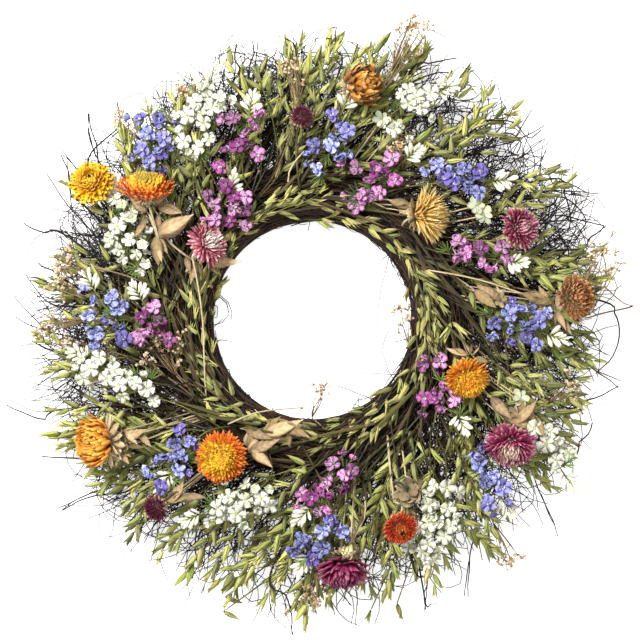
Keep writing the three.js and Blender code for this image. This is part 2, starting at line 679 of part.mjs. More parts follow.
function sprigSolids(owner, { foot: footPixel, heads }) {
  const foot = over(footPixel, SPRIG.share);
  const middle = middleOf(heads.map((pixel) => over(pixel, SPRIG.share)));
  const path = stemTo(owner, foot, middle.clone().sub(foot).normalize(), SPRIG.stem);
  const solids = [stemSolid(path, SPRIG.stem)];
  for (const pixel of heads) {
    const head = over(pixel, SPRIG.share);
    const start = foot.clone().lerp(path.at(-2), 0.04);
    const branch = [start, foot.clone().lerp(head, 0.6).add(at(0, 0, 2)), foot.clone().lerp(head, 0.9), head];
    const rods = [...rodsAlong(branch, SPRIG.twig), rod(head, head, SPRIG.head)];
    if (!isFree(owner, rods)) continue;
    keep(owner, rods);
    const end = head.clone().addScaledVector(head.clone().sub(foot).normalize(), SPRIG.head);
    solids.push(sweep([...branch, end], [0, SPRIG.twig, SPRIG.twig, SPRIG.head, 0]));
  }
  return solids;
}

// Bunches of oats: spikelets in pairs down the sides of stems that fan out clockwise from a tied butt.
const OATS = {
  bunches: 8, first: 104, headings: [-100, -70, -44, -18], reach: [118, 150, 150, 140], pairs: [3, 4, 4, 3],
  length: 22, radius: 2.8, stem: 0.8, node: 1.8, butt: 3, shifts: [0, 3, -3, 6, -6, 9, -9],
  tries: [0, 6, -6, 11, -11, 16, -16].flatMap((turn) => [0.6, 0.54, 0.48, 0.66].map((share) => [turn, share])),
};

function oatPath(root, heading, most, share, bend) {
  const point = (t, reach) => {
    const turn = radians(heading + bend * t);
    return at(root.x + Math.cos(turn) * reach * t, root.y + Math.sin(turn) * reach * t, 0);
  };
  let reach = most;
  while (radiusOf(point(1, reach)) > edgeOf(point(1, reach)) - OATS.length) reach -= 3;
  return [0, 0.2, 0.4, 0.6, 0.8, 1].map((t) => {
    const p = point(t, reach);
    return p.setZ(Math.max(root.z * (1 - t) * (1 - t), dome(radiusOf(p)) * share));
  });
}

function oatStem(owner, { root, knot, heading, reach, pairs, seed }) {
  let path;
  for (const [turn, share] of OATS.tries) {
    const whole = oatPath(knot, heading + turn, reach, share + 0.03 * spread(seed, 1), 14);
    whole[0].lerp(root, 0.4);
    const rods = rodsAlong(whole, OATS.stem);
    const blocked = rods.findIndex((r, i) => !isApart(owner, [r]) || (i && !isAbove([r])));
    const free = blocked < 0 ? whole : whole.slice(0, blocked + 1);
    if (!path || free.length > path.length) path = free;
    if (blocked < 0) break;
  }
  if (path.length < 4) return [];
  keep(owner, rodsAlong(path, OATS.stem));
  const curve = new THREE.CatmullRomCurve3(path);
  const spikelet = (base, out) => {
    const [low, high] = [2, OATS.length - 1].map((reach) => base.clone().addScaledVector(out, reach));
    const rods = [rod(low, high, OATS.radius * 0.8)];
    const free = isFree(owner, rods);
    if (free) keep(owner, rods);
    return free;
  };
  const shoots = [];
  const points = [path[0]];
  for (let k = 0; k < pairs; k++) {
    const share = 0.32 + (0.6 * k) / (pairs - 1) + 0.03 * spread(seed, 10 + k);
    const [base, ahead] = [curve.getPoint(share), curve.getTangent(share)];
    if (!k) points.push(curve.getPoint(0.15));
    points.push(...[-OATS.node, OATS.node].map((step) => base.clone().addScaledVector(ahead, step)));
    const left = up.clone().cross(ahead).normalize();
    [1, -1].forEach((hand, side) => {
      for (let draw = 0; draw < 3; draw++) {
        const open = hand * (0.5 + 0.42 * noise(seed, 20 + 6 * k + 3 * side + draw));
        const rise = 0.25 * spread(seed, 60 + k + draw);
        const out = ahead.clone().addScaledVector(left, open).addScaledVector(up, rise).normalize();
        if (!spikelet(base, out)) continue;
        shoots.push({ span: points.length - 2, side, grow: pointed(base, out, OATS.length, OATS.radius) });
        break;
      }
    });
  }
  const last = curve.getTangent(1);
  points.push(path.at(-1));
  const widths = points.map(() => OATS.stem);
  if (spikelet(path.at(-1), last)) {
    points.push(...[0.42, 1].map((t) => path.at(-1).clone().addScaledVector(last, OATS.length * t)));
    widths.push(OATS.radius, 0);
  }
  return [sweep(points, widths, { shoots })];
}

function oatSolids(owner, bunch) {
  const angle = OATS.first + (360 * bunch) / OATS.bunches;
  const placesAt = (shift) => [129, 135, 122].map((radius) => around(radius, angle + shift));
  const places = OATS.shifts.flatMap(placesAt);
  const root = places.map(ringSurface)
    .find((p) => isFree(owner, [rod(p.clone().setZ(p.z + 4), p.clone().setZ(p.z + 9), OATS.butt)]));
  const knot = root.clone().setZ(root.z + 9);
  keep(owner, [rod(root, knot, OATS.butt)]);
  const stems = OATS.headings.map((turn, k) => {
    const [reach, pairs] = [OATS.reach[k], OATS.pairs[k]];
    return oatStem(owner, { root, knot, heading: angle + turn, reach, pairs, seed: bunch * 9 + k });
  });
  return [sweep([root, knot], [OATS.butt, OATS.butt], { sides: 5 }), ...stems.flat()];
}

// Brushes of fine dark twigs: a rib against the ring's outer flank, and twigs that wander outwards from it,
// one through the upper and one through the lower panel of each span.
const TWIGS = {
  brushes: 6, first: 0.7, width: 4.15, spans: 11, depth: 5, collar: 4, radius: 0.8, reach: 88, more: 44,
  draws: 12,
};
const LONG_TWIGS = {
  0: [430, 74, 452, 50],
  1: [120, 128, 113, 98],
  2: [46, 412, 3, 400],
  3: [128, 500, 58, 512],
  4: [288, 590, 294, 638],
  5: [588, 250, 609, 224],
};

function twigSolid(owner, brush) {
  const perTurn = RING.columns / TWIGS.brushes;
  const first = columnOf(BINDING.start) + brush * perTurn + TWIGS.first;
  const rings = Array.from({ length: TWIGS.spans + 1 }, (_, c) => {
    const j = first + (TWIGS.width * c) / TWIGS.spans;
    const [low, high] = [sectionPoint(10, j, TWIGS.depth), sectionPoint(9, j, TWIGS.depth)];
    return [sectionPoint(9, j, GAP), high, low.clone().lerp(high, 0.5), low, sectionPoint(10, j, GAP)];
  });
  const shoots = [];
  const order = [TWIGS.spans, ...Array(2 * TWIGS.spans).keys()];
  for (const [turn, k] of order.entries()) {
    if (turn && k === TWIGS.spans) continue;
    const [span, side] = [k >> 1, 1 + (k % 2)];
    const root = middleOf([side, side + 1].flatMap((i) => [rings[span][i], rings[span + 1][i]]));
    const draws = Array.from({ length: TWIGS.draws }, (_, draw) => brush * 40 + k + draw / 16);
    const wandering = draws.map((seed) => wanderingTwig(root, side, seed));
    const path = freeTwig(owner + k, turn ? wandering : [longTwig(root, LONG_TWIGS[brush])]);
    if (path.length > 2) shoots.push({ span, side, grow: twigRings(path) });
  }
  return grown(rings, { shoots, least: 1 });
}

// The first of some paths that is free, or the longest free start of any, with its room taken.
function freeTwig(owner, paths) {
  let best = [];
  for (const path of paths) {
    const isBlocked = (r, i) => !isApart(owner, [r]) || (i && !isAbove([r]));
    const blocked = rodsAlong(path, TWIGS.radius).findIndex(isBlocked);
    const free = blocked < 0 ? path : path.slice(0, blocked + 1);
    if (free.length > best.length) best = free;
    if (blocked < 0) break;
  }
  keep(owner, rodsAlong(best, TWIGS.radius));
  return best;
}

// The rings of a twig: a collar close to its panel, one at each bend, and the tip.
const twigRings = (path) => (corners) => {
  const out = corners[1].clone().sub(corners[0]).cross(corners[2].clone().sub(corners[0])).normalize();
  const neck = path[0].clone().addScaledVector(out, TWIGS.collar);
  const collar = shootRing(corners, neck, out, 3, () => 1.5 * TWIGS.radius);
  const bends = path.slice(1, -1).map((p, i) => {
    return shootRing(corners, p, p.clone().sub(path[i]).normalize(), 3, () => TWIGS.radius);
  });
  return [collar, ...bends, [path.at(-1)]];
};

function wanderingTwig(root, side, seed) {
  const heading = radians(angleOf(root) - 20 + 34 * spread(seed, 1));
  const reach = TWIGS.reach + TWIGS.more * noise(seed, 2);
  const high = side === 1 ? 22 + 12 * noise(seed, 3) : 6 + 12 * noise(seed, 3);
  return [0, side === 1 ? 0.5 : 0.34, 1].map((t, i) => {
    const turn = heading + 0.45 * t * spread(seed, 5 + i);
    const out = at(Math.cos(turn) * reach, Math.sin(turn) * reach, high - root.z);
    return root.clone().addScaledVector(out, t);
  });
}

function longTwig(root, [x0, y0, x1, y1]) {
  const [bend, tip] = [over([x0, y0], 0.3), over([x1, y1], 0.4)];
  return [root, root.clone().lerp(bend, 0.5), bend, tip];
}

// Materials, one for each kind of plant or wire.
const finish = (color, roughness = 0.8, metalness = 0) =>
  new THREE.MeshStandardMaterial({ color, roughness, metalness });
const MATERIALS = {
  wire: finish(0x8a8d88, 0.45, 0.9), stems: finish(0x4a3426), twigs: finish(0x241c20), oats: finish(0xa8a95a),
  gold: finish(0xf2b21c), orange: finish(0xe8821a), amber: finish(0xd98a22), rust: finish(0xa8622c),
  pink: finish(0xd88aa6), magenta: finish(0xa23a6c), crimson: finish(0x7c1f45), red: finish(0xc7401c),
  blue: finish(0x7072c4), larkspur_pink: finish(0xc264b8), white: finish(0xf1f1e2), tan: finish(0xcaa776),
};

// The assembly. Heads take their room first, then stems find theirs, and the filling grows where room is left.
const wreath = new THREE.Group();
const add = (name, solid, material) => wreath.add(meshOf(name, solid, material)).children.at(-1);

bundle = add("stem_ring", stemRing(), MATERIALS.stems);
bundle.updateMatrixWorld(true);
seatedRing = solidOf(bundle.geometry).translate([0, 0, SEAT]);
add("wire_ring", frameRing(), MATERIALS.wire);
const winding = bindingPath();
keep("binding_wire", rodsAlong(winding, BINDING.radius));
add("binding_wire", sweep(winding, winding.map(() => BINDING.radius)), MATERIALS.wire);

for (const [name, spec] of Object.entries(BLOOMS)) spec.head = strawflower("strawflower_" + name, spec);
for (const [name, spec] of Object.entries(SPIKES)) {
  spec.spine = spikeAxis(spec);
  const end = spec.spine.tip.clone().addScaledVector(spec.spine.along, SPIKE.bud);
  keep("larkspur_" + name, [rod(spec.spine.foot, end, SPIKE.budRadius)]);
}
for (const [name, spec] of Object.entries(BLOOMS)) {
  const owner = "strawflower_" + name;
  add(owner, seated(fuse(bloomSolids(owner, spec))), MATERIALS[spec.colour]);
}
for (const [name, spec] of Object.entries(SPIKES)) {
  const owner = "larkspur_" + name;
  const colour = name.startsWith("pink") ? "larkspur_pink" : name.split("_")[0];
  add(owner, seated(spikeSolid(owner, spec)), MATERIALS[colour]);
}
for (const [name, spec] of Object.entries(SPRIGS)) {
  const owner = "sprig_" + name;
  add(owner, seated(fuse(sprigSolids(owner, spec))), MATERIALS.tan);
}
for (let k = 0; k < OATS.bunches; k++) {
  const owner = "oats_" + (k + 1);
  add(owner, seated(fuse(oatSolids(owner, k))), MATERIALS.oats);
}
for (let k = 0; k < TWIGS.brushes; k++) {
  const owner = "twigs_" + (k + 1);
  add(owner, twigSolid(owner, k), MATERIALS.twigs);
}

export default wreath;
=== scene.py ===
"""A dried-flower wreath lying on its back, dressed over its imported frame.

The frame's nodes hold the layout. Each flower, spikelet, leaf and twig is found again in its node's
triangles, and finer petals, glumes and stems are grown in the same place. Oats, twigs, leaves and sprays
that the frame has no room for are grown between them from the same ring of stems.
"""

import json
import logging
import math
from collections.abc import Callable, Sequence
from dataclasses import dataclass, field
from enum import Enum
from functools import partial, partialmethod
from typing import Any

import bmesh
import bpy
import numpy as np
from bpy.types import ID, Material, Mesh, Node, NodeSocket, NodeTree, Object
from mathutils import Matrix, Vector

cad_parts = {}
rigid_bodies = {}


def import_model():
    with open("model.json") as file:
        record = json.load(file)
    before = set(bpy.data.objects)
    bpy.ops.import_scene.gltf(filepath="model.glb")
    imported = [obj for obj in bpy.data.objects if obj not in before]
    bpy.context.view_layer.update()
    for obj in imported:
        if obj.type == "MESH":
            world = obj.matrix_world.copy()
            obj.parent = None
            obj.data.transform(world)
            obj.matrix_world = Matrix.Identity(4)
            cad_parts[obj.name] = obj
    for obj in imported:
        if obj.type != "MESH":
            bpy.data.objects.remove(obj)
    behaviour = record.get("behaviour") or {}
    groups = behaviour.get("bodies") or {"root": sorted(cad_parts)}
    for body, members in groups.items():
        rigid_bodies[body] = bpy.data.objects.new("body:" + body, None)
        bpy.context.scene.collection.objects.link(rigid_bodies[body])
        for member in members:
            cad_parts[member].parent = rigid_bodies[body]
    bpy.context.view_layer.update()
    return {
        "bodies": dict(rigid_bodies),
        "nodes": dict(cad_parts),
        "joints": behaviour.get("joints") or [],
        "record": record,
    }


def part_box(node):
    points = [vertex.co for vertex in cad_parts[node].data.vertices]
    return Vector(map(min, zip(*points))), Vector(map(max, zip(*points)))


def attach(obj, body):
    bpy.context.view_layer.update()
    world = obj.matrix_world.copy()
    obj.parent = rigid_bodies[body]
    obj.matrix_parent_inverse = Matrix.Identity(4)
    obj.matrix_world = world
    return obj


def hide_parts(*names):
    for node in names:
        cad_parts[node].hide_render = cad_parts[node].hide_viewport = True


log = logging.getLogger("wreath")

Array = np.ndarray
Inputs = dict[Any, Any]
Pixels = tuple[tuple[float, float], ...]
Pairs = tuple[tuple[float, float, float, float], ...]
Tint = tuple[str, float]

MM = 0.001
PIXEL = 0.9375 * MM
ORIGIN_PIXEL = (320.0, 322.0)
GOLDEN_ANGLE = math.radians(137.508)
UP = np.array([0.0, 0.0, 1.0])
SHAPE_INPUTS = ("shape_a", "shape_b", "shape_c")
CHANCE_INPUTS = {"seed": 1, "roll": 0.3, "vary": 0.12}
NO_TINT = ("#FFFFFF", 0.0)
KEPT_ATTRIBUTES = {"along", "across", "part", "tone", "layer", "position"}
AXIS = (0.0, 0.0, 1.0)


def colour(code: str) -> tuple[float, float, float, float]:
    """Turns a display colour such as "#A9AE4E" into linear red, green, blue and alpha."""
    parts = [int(code[i : i + 2], 16) / 255 for i in (1, 3, 5)]
    linear = [c / 12.92 if c <= 0.04045 else ((c + 0.055) / 1.055) ** 2.4 for c in parts]
    return (*linear, 1.0)


def unit(vector: Array) -> Array:
    """Scales vectors, one or one to a row, to a length of 1."""
    return vector / np.maximum(np.linalg.norm(vector, axis=-1, keepdims=True), 1e-9)


def toward(turn: float, z: float = 0.0) -> Array:
    """The level direction at an angle in radians, with a height of its own."""
    return np.array([math.cos(turn), math.sin(turn), z])


def shown(name: str, data: ID) -> Object:
    """A new object of some data, in the scene."""
    item = bpy.data.objects.new(name, data)
    bpy.context.scene.collection.objects.link(item)
    return item


# Node trees.


class Value:
    """A number socket that takes part in Python expressions."""

    def __init__(self, graph: "Graph", socket: NodeSocket) -> None:
        """Keeps the graph and the socket."""
        self.graph = graph
        self.socket = socket

    def apply(self, operation: str, other: Any = 0.0, swapped: bool = False) -> "Value":
        """Adds a Math node for any operation, such as SINE, with the other number on its right or swapped."""
        pair = (other, self) if swapped else (self, other)
        return self.graph.value("ShaderNodeMath", dict(enumerate(pair)), operation=operation)

    __add__ = partialmethod(apply, "ADD")
    __radd__ = partialmethod(apply, "ADD", swapped=True)
    __sub__ = partialmethod(apply, "SUBTRACT")
    __rsub__ = partialmethod(apply, "SUBTRACT", swapped=True)
    __mul__ = partialmethod(apply, "MULTIPLY")
    __rmul__ = partialmethod(apply, "MULTIPLY", swapped=True)
    __truediv__ = partialmethod(apply, "DIVIDE")
    __pow__ = partialmethod(apply, "POWER")
    __mod__ = partialmethod(apply, "FLOORED_MODULO")

    def clamped(self, low: float = 0.0, high: float = 1.0) -> "Value":
        """The number, held between two limits."""
        return self.apply("MAXIMUM", low).apply("MINIMUM", high)


class Graph:
    """A shader or geometry node tree, to which nodes are added by one method."""

    def __init__(self, tree: NodeTree) -> None:
        """Keeps the tree."""
        self.tree = tree

    def add(self, kind: str, inputs: Inputs | None = None, **settings: Any) -> Node:
        """Adds and returns a node.

        Args:
            kind: the node's type.
            inputs: for each socket's name or number, a constant, a socket or a Value.
            settings: its properties, or "stops" for a ramp's positions and colours.
        """
        node = self.tree.nodes.new(kind)
        for stop, (position, shade) in enumerate(settings.pop("stops", ())):
            ramp = node.color_ramp.elements
            element = ramp[stop] if stop < len(ramp) else ramp.new(1.0)
            element.position, element.color = position, shade
        for key, setting in settings.items():
            setattr(node, key, setting)
        self.feed(node, inputs or {})
        return node

    def feed(self, node: Node, inputs: Inputs) -> None:
        """Links or sets a node's inputs."""
        for key, given in inputs.items():
            source = given.socket if isinstance(given, Value) else given
            if isinstance(source, NodeSocket):
                self.tree.links.new(source, node.inputs[key])
            else:
                node.inputs[key].default_value = source

    def out(self, kind: str, inputs: Inputs | None = None, **settings: Any) -> NodeSocket:
        """Adds a node and returns its first output."""
        return self.add(kind, inputs, **settings).outputs[0]

    def value(self, kind: str, inputs: Inputs | None = None, output: Any = 0, **settings: Any) -> Value:
        """Adds a node and returns one of its outputs as a Value."""
        return Value(self, self.add(kind, inputs, **settings).outputs[output])

    def vector(self, operation: str, *operands: Any) -> NodeSocket:
        """Adds a Vector Math node and returns its vector output."""
        return self.out("ShaderNodeVectorMath", dict(enumerate(operands)), operation=operation)

    def scaled(self, vector: Any, scale: Any) -> NodeSocket:
        """A vector times a number."""
        return self.out("ShaderNodeVectorMath", {0: vector, "Scale": scale}, operation="SCALE")

    def combined(self, x: Any = 0.0, y: Any = 0.0, z: Any = 0.0) -> NodeSocket:
        """A vector of three numbers."""
        return self.out("ShaderNodeCombineXYZ", {0: x, 1: y, 2: z})

    def noise(self, place: Any, scale: float, detail: float) -> Value:
        """A noise texture's strength at a place."""
        return self.value("ShaderNodeTexNoise", {"Vector": place, "Scale": scale, "Detail": detail}, "Fac")

    def mix(self, factor: Any, first: Any, second: Any) -> NodeSocket:
        """Mixes two colours."""
        return self.add("ShaderNodeMix", {0: factor, 6: first, 7: second}, data_type="RGBA", blend_type="MIX",
                        clamp_factor=True).outputs[2]


class Paint(Graph):
    """The node tree of a new Principled material."""

    def __init__(self, name: str) -> None:
        """Makes the material."""
        self.material = bpy.data.materials.new(name)
        self.material.use_nodes = True
        super().__init__(self.material.node_tree)

    def place(self) -> NodeSocket:
        """The place in Object coordinates."""
        return self.add("ShaderNodeTexCoord").outputs["Object"]

    def attribute(self, name: str) -> Value:
        """A number that the mesh carries."""
        return self.value("ShaderNodeAttribute", None, "Fac", attribute_name=name)

    def bump(self, height: Value, strength: float, distance: float) -> NodeSocket:
        """The normal over bumps of a height."""
        return self.out("ShaderNodeBump", {"Strength": strength, "Distance": distance, "Height": height})

    def finished(self, inputs: dict[str, Any]) -> Material:
        """Gives the shader its inputs and returns the material."""
        self.feed(self.tree.nodes["Principled BSDF"], inputs)
        return self.material


class Tree(Graph):
    """A geometry node tree with named inputs, which ends in Realize Instances and Set Material."""

    def __init__(self, name: str, shaped: bool = True, **inputs: Any) -> None:
        """Makes the group and its inputs.

        Args:
            name: the group's name.
            shaped: whether the tree repeats shapes, and so has inputs for them and for chance.
            inputs: the default of each further input, which also gives its type, by a name with _ for a space.
        """
        super().__init__(bpy.data.node_groups.new(name, "GeometryNodeTree"))
        face = self.tree.interface
        face.new_socket("Geometry", in_out="INPUT", socket_type="NodeSocketGeometry")
        self.identifiers: dict[str, str] = {}
        kinds = {**dict.fromkeys(SHAPE_INPUTS if shaped else (), "Object"), "material": "Material"}
        for key, default in {**dict.fromkeys(kinds), **(CHANCE_INPUTS if shaped else {}), **inputs}.items():
            kind = kinds.get(key) or ("Int" if isinstance(default, int) else "Float")
            socket = face.new_socket(key.title().replace("_", " "), in_out="INPUT", socket_type="NodeSocket" + kind)
            if default is not None:
                socket.default_value = default
            self.identifiers[key] = socket.identifier
        face.new_socket("Geometry", in_out="OUTPUT", socket_type="NodeSocketGeometry")
        self.entry = self.add("NodeGroupInput")

    def given(self, key: str) -> Value:
        """An input of the tree."""
        return Value(self, self.entry.outputs[key.title().replace("_", " ")])

    def named(self, name: str, kind: str = "FLOAT") -> Value:
        """A named attribute of the geometry."""
        return self.value("GeometryNodeInputNamedAttribute", {"Name": name}, data_type=kind)

    def random(self, low: float, high: float, salt: int) -> Value:
        """A random number for each element, fixed by the Seed input and a salt."""
        return self.value("FunctionNodeRandomValue", {2: low, 3: high, "Seed": self.given("seed") + salt}, 1,
                          data_type="FLOAT")

    def store(self, geometry: Any, name: str, value: Any) -> NodeSocket:
        """Stores a number on each instance as a named attribute."""
        return self.out("GeometryNodeStoreNamedAttribute", {"Geometry": geometry, "Name": name, "Value": value},
                        data_type="FLOAT", domain="INSTANCE")

    def curves(self, step: str) -> NodeSocket:
        """The bed's paths as smooth curves, whose points lie as far apart as the named input says."""
        curve = self.out("GeometryNodeMeshToCurve", {"Mesh": self.entry.outputs["Geometry"]})
        smooth = self.out("GeometryNodeCurveSplineType", {0: curve}, spline_type="CATMULL_ROM")
        return self.out("GeometryNodeResampleCurve", {"Curve": smooth, "Length": self.given(step)}, mode="LENGTH")

    def planted(self, points: Any, heading: Any, facing: Any, size: Any, pick: Any) -> NodeSocket:
        """Sets a shape on each point: its length along the heading, and its face towards the facing."""
        join = self.add("GeometryNodeJoinGeometry")
        for key in reversed(SHAPE_INPUTS):
            info = self.add("GeometryNodeObjectInfo", {"Object": self.given(key)})
            instance = self.out("GeometryNodeGeometryToInstance", {0: info.outputs["Geometry"]})
            self.tree.links.new(instance, join.inputs[0])
        aim = self.out("FunctionNodeAxesToRotation", {0: heading, 1: facing}, primary_axis="Y", secondary_axis="Z")
        roll = self.out("FunctionNodeAxisAngleToRotation", {
            "Axis": (0.0, 1.0, 0.0), "Angle": self.random(-1.0, 1.0, 3) * self.given("roll")})
        turned = self.out("FunctionNodeRotateRotation", {0: aim, 1: roll}, rotation_space="LOCAL")
        return self.out("GeometryNodeInstanceOnPoints", {
            "Points": points, "Instance": join.outputs[0], "Pick Instance": True, "Instance Index": pick,
            "Rotation": turned, "Scale": size * (1.0 + self.random(-1.0, 1.0, 5) * self.given("vary"))})

    def end(self, geometry: Any) -> "Tree":
        """Closes the tree: instances are made real, shaded smooth and given the material."""
        smooth = self.out("GeometryNodeSetShadeSmooth", {0: self.out("GeometryNodeRealizeInstances", {0: geometry})})
        dressed = self.out("GeometryNodeSetMaterial", {"Geometry": smooth, "Material": self.given("material")})
        self.add("NodeGroupOutput", {0: dressed})
        return self

    def grow(self, bed: Object, values: dict[str, Any]) -> Mesh:
        """The plain mesh that the tree grows on a bed of points or paths, which is used up, with inputs given."""
        modifier = bed.modifiers.new("growth", "NODES")
        modifier.node_group = self.tree
        for key, given in values.items():
            modifier[self.identifiers[key]] = given
        graph = bpy.context.evaluated_depsgraph_get()
        mesh = bpy.data.meshes.new_from_object(bed.evaluated_get(graph), depsgraph=graph)
        bed.modifiers.remove(modifier)
        bpy.data.objects.remove(bed)
        for name in [a.name for a in mesh.attributes if a.domain == "POINT"]:
            if name not in KEPT_ATTRIBUTES and not name.startswith("."):
                mesh.attributes.remove(mesh.attributes[name])
        return mesh


def planting_tree() -> Tree:
    """A tree that sets a shape on each given point, by the point's heading, facing, size and variant."""
    tree = Tree("planting", size=1.0)
    return tree.end(tree.planted(
        tree.entry.outputs["Geometry"], tree.named("heading", "FLOAT_VECTOR"), tree.named("facing", "FLOAT_VECTOR"),
        tree.named("size") * tree.given("size"), tree.named("variant", "INT")))


def stalk_tree() -> Tree:
    """A tree that draws a round stalk along each path, with kinks that grow towards its tip."""
    tree = Tree("stalks", shaped=False, sides=4, step=8 * MM, kink=0.0, kink_scale=40.0)
    shift = tree.scaled((7.0, 3.0, 5.0), tree.named("tone"))
    place = tree.vector("ADD", tree.out("GeometryNodeInputPosition"), shift)
    cloud = tree.add("ShaderNodeTexNoise", {"Vector": place, "Scale": tree.given("kink_scale"), "Detail": 1.0})
    offset = tree.vector("SUBTRACT", cloud.outputs["Color"], (0.5, 0.5, 0.5))
    kinked = tree.out("GeometryNodeSetPosition", {
        "Geometry": tree.curves("step"),
        "Offset": tree.scaled(offset, tree.given("kink") * tree.named("along") ** 0.7)})
    circle = tree.out("GeometryNodeCurvePrimitiveCircle", {"Resolution": tree.given("sides"), "Radius": 1.0})
    return tree.end(tree.out("GeometryNodeCurveToMesh", {
        "Curve": kinked, "Profile Curve": circle, "Scale": tree.named("thickness"), "Fill Caps": True}))


def sprout_tree() -> Tree:
    """A tree that sets shapes left and right along each path, leaning forwards."""
    tree = Tree("sprouts", roll=0.8, vary=0.18, size=20 * MM, start=0.3, spacing=9 * MM, open=0.6, lift=0.4)
    share = tree.value("GeometryNodeSplineParameter")
    early = tree.out("FunctionNodeCompare", {0: share, 1: tree.given("start")}, operation="LESS_THAN")
    ahead = tree.add("GeometryNodeCaptureAttribute", {"Geometry": tree.curves("spacing")})
    ahead.capture_items.new("VECTOR", "Ahead")
    ahead.capture_items.new("FLOAT", "Share")
    tree.feed(ahead, {1: tree.out("GeometryNodeInputTangent"), 2: share})
    tangent = ahead.outputs[1]
    bare = tree.out("GeometryNodeDeleteGeometry", {"Geometry": ahead.outputs[0], "Selection": early}, domain="POINT")
    hand = (tree.value("GeometryNodeInputIndex") % 2.0) * 2.0 - 1.0
    side = tree.vector("NORMALIZE", tree.vector("CROSS_PRODUCT", AXIS, tangent))
    fade = 1.0 - 0.75 * (Value(tree, ahead.outputs[2]) ** 3.0)
    reach = hand * tree.given("open") * tree.random(0.5, 1.5, 11) * fade
    lean = tree.vector("ADD", tangent, tree.scaled(side, reach))
    rise = tree.scaled(AXIS, tree.random(-0.5, 1.0, 12) * tree.given("lift"))
    tilt = tree.vector("ADD", AXIS, tree.scaled(side, tree.random(-0.8, 0.8, 13)))
    instances = tree.planted(bare, tree.vector("ADD", lean, rise), tilt, tree.given("size"),
                             tree.random(0.0, 2.99, 14).apply("FLOOR"))
    return tree.end(tree.store(instances, "tone", tree.random(0.0, 1.0, 15)))


def bloom_tree() -> Tree:
    """A tree that packs bracts round a head by the golden angle, from upright in the heart to flat at the rim."""
    tree = Tree("bloom", count=120, radius=20 * MM, base=0.42, height=0.2, low=0.0, inner_tilt=0.3, outer_tilt=1.5,
                inner_length=0.3, outer_length=0.6, first=0.0)
    index, radius, first = tree.value("GeometryNodeInputIndex"), tree.given("radius"), tree.given("first")
    share = first + (1.0 - first) * (index / tree.given("count"))

    def between(inner: str, outer: str) -> Value:
        """The value between an input for the heart and one for the rim."""
        return tree.given(inner) + (tree.given(outer) - tree.given(inner)) * share

    turn = index * GOLDEN_ANGLE
    radial = tree.combined(turn.apply("COSINE"), turn.apply("SINE"))
    tilt = between("inner_tilt", "outer_tilt") + tree.random(-0.14, 0.14, 21)
    rise = tree.combined(z=radius * (tree.given("height") + (tree.given("low") - tree.given("height")) * share * share))
    place = tree.vector("ADD", tree.scaled(radial, radius * tree.given("base") * share ** 0.6), rise)
    placed = tree.out("GeometryNodeSetPosition", {
        "Geometry": tree.out("GeometryNodePoints", {"Count": tree.given("count")}), "Position": place})
    sine, cosine = tilt.apply("SINE"), tilt.apply("COSINE")
    heading = tree.vector("ADD", tree.scaled(radial, sine), tree.scaled(AXIS, cosine))
    facing = tree.vector("ADD", tree.scaled(radial, -1.0 * cosine), tree.scaled(AXIS, sine))
    pick = (share * 3.0 + tree.random(-0.5, 0.5, 22)).apply("FLOOR").clamped(0.0, 2.0)
    instances = tree.planted(placed, heading, facing, radius * between("inner_length", "outer_length"), pick)
    return tree.end(tree.store(tree.store(instances, "layer", share), "tone", tree.random(0.0, 1.0, 23)))


# Small repeated shapes. Each has a length of 1 along +Y, and its upper face looks along +Z.


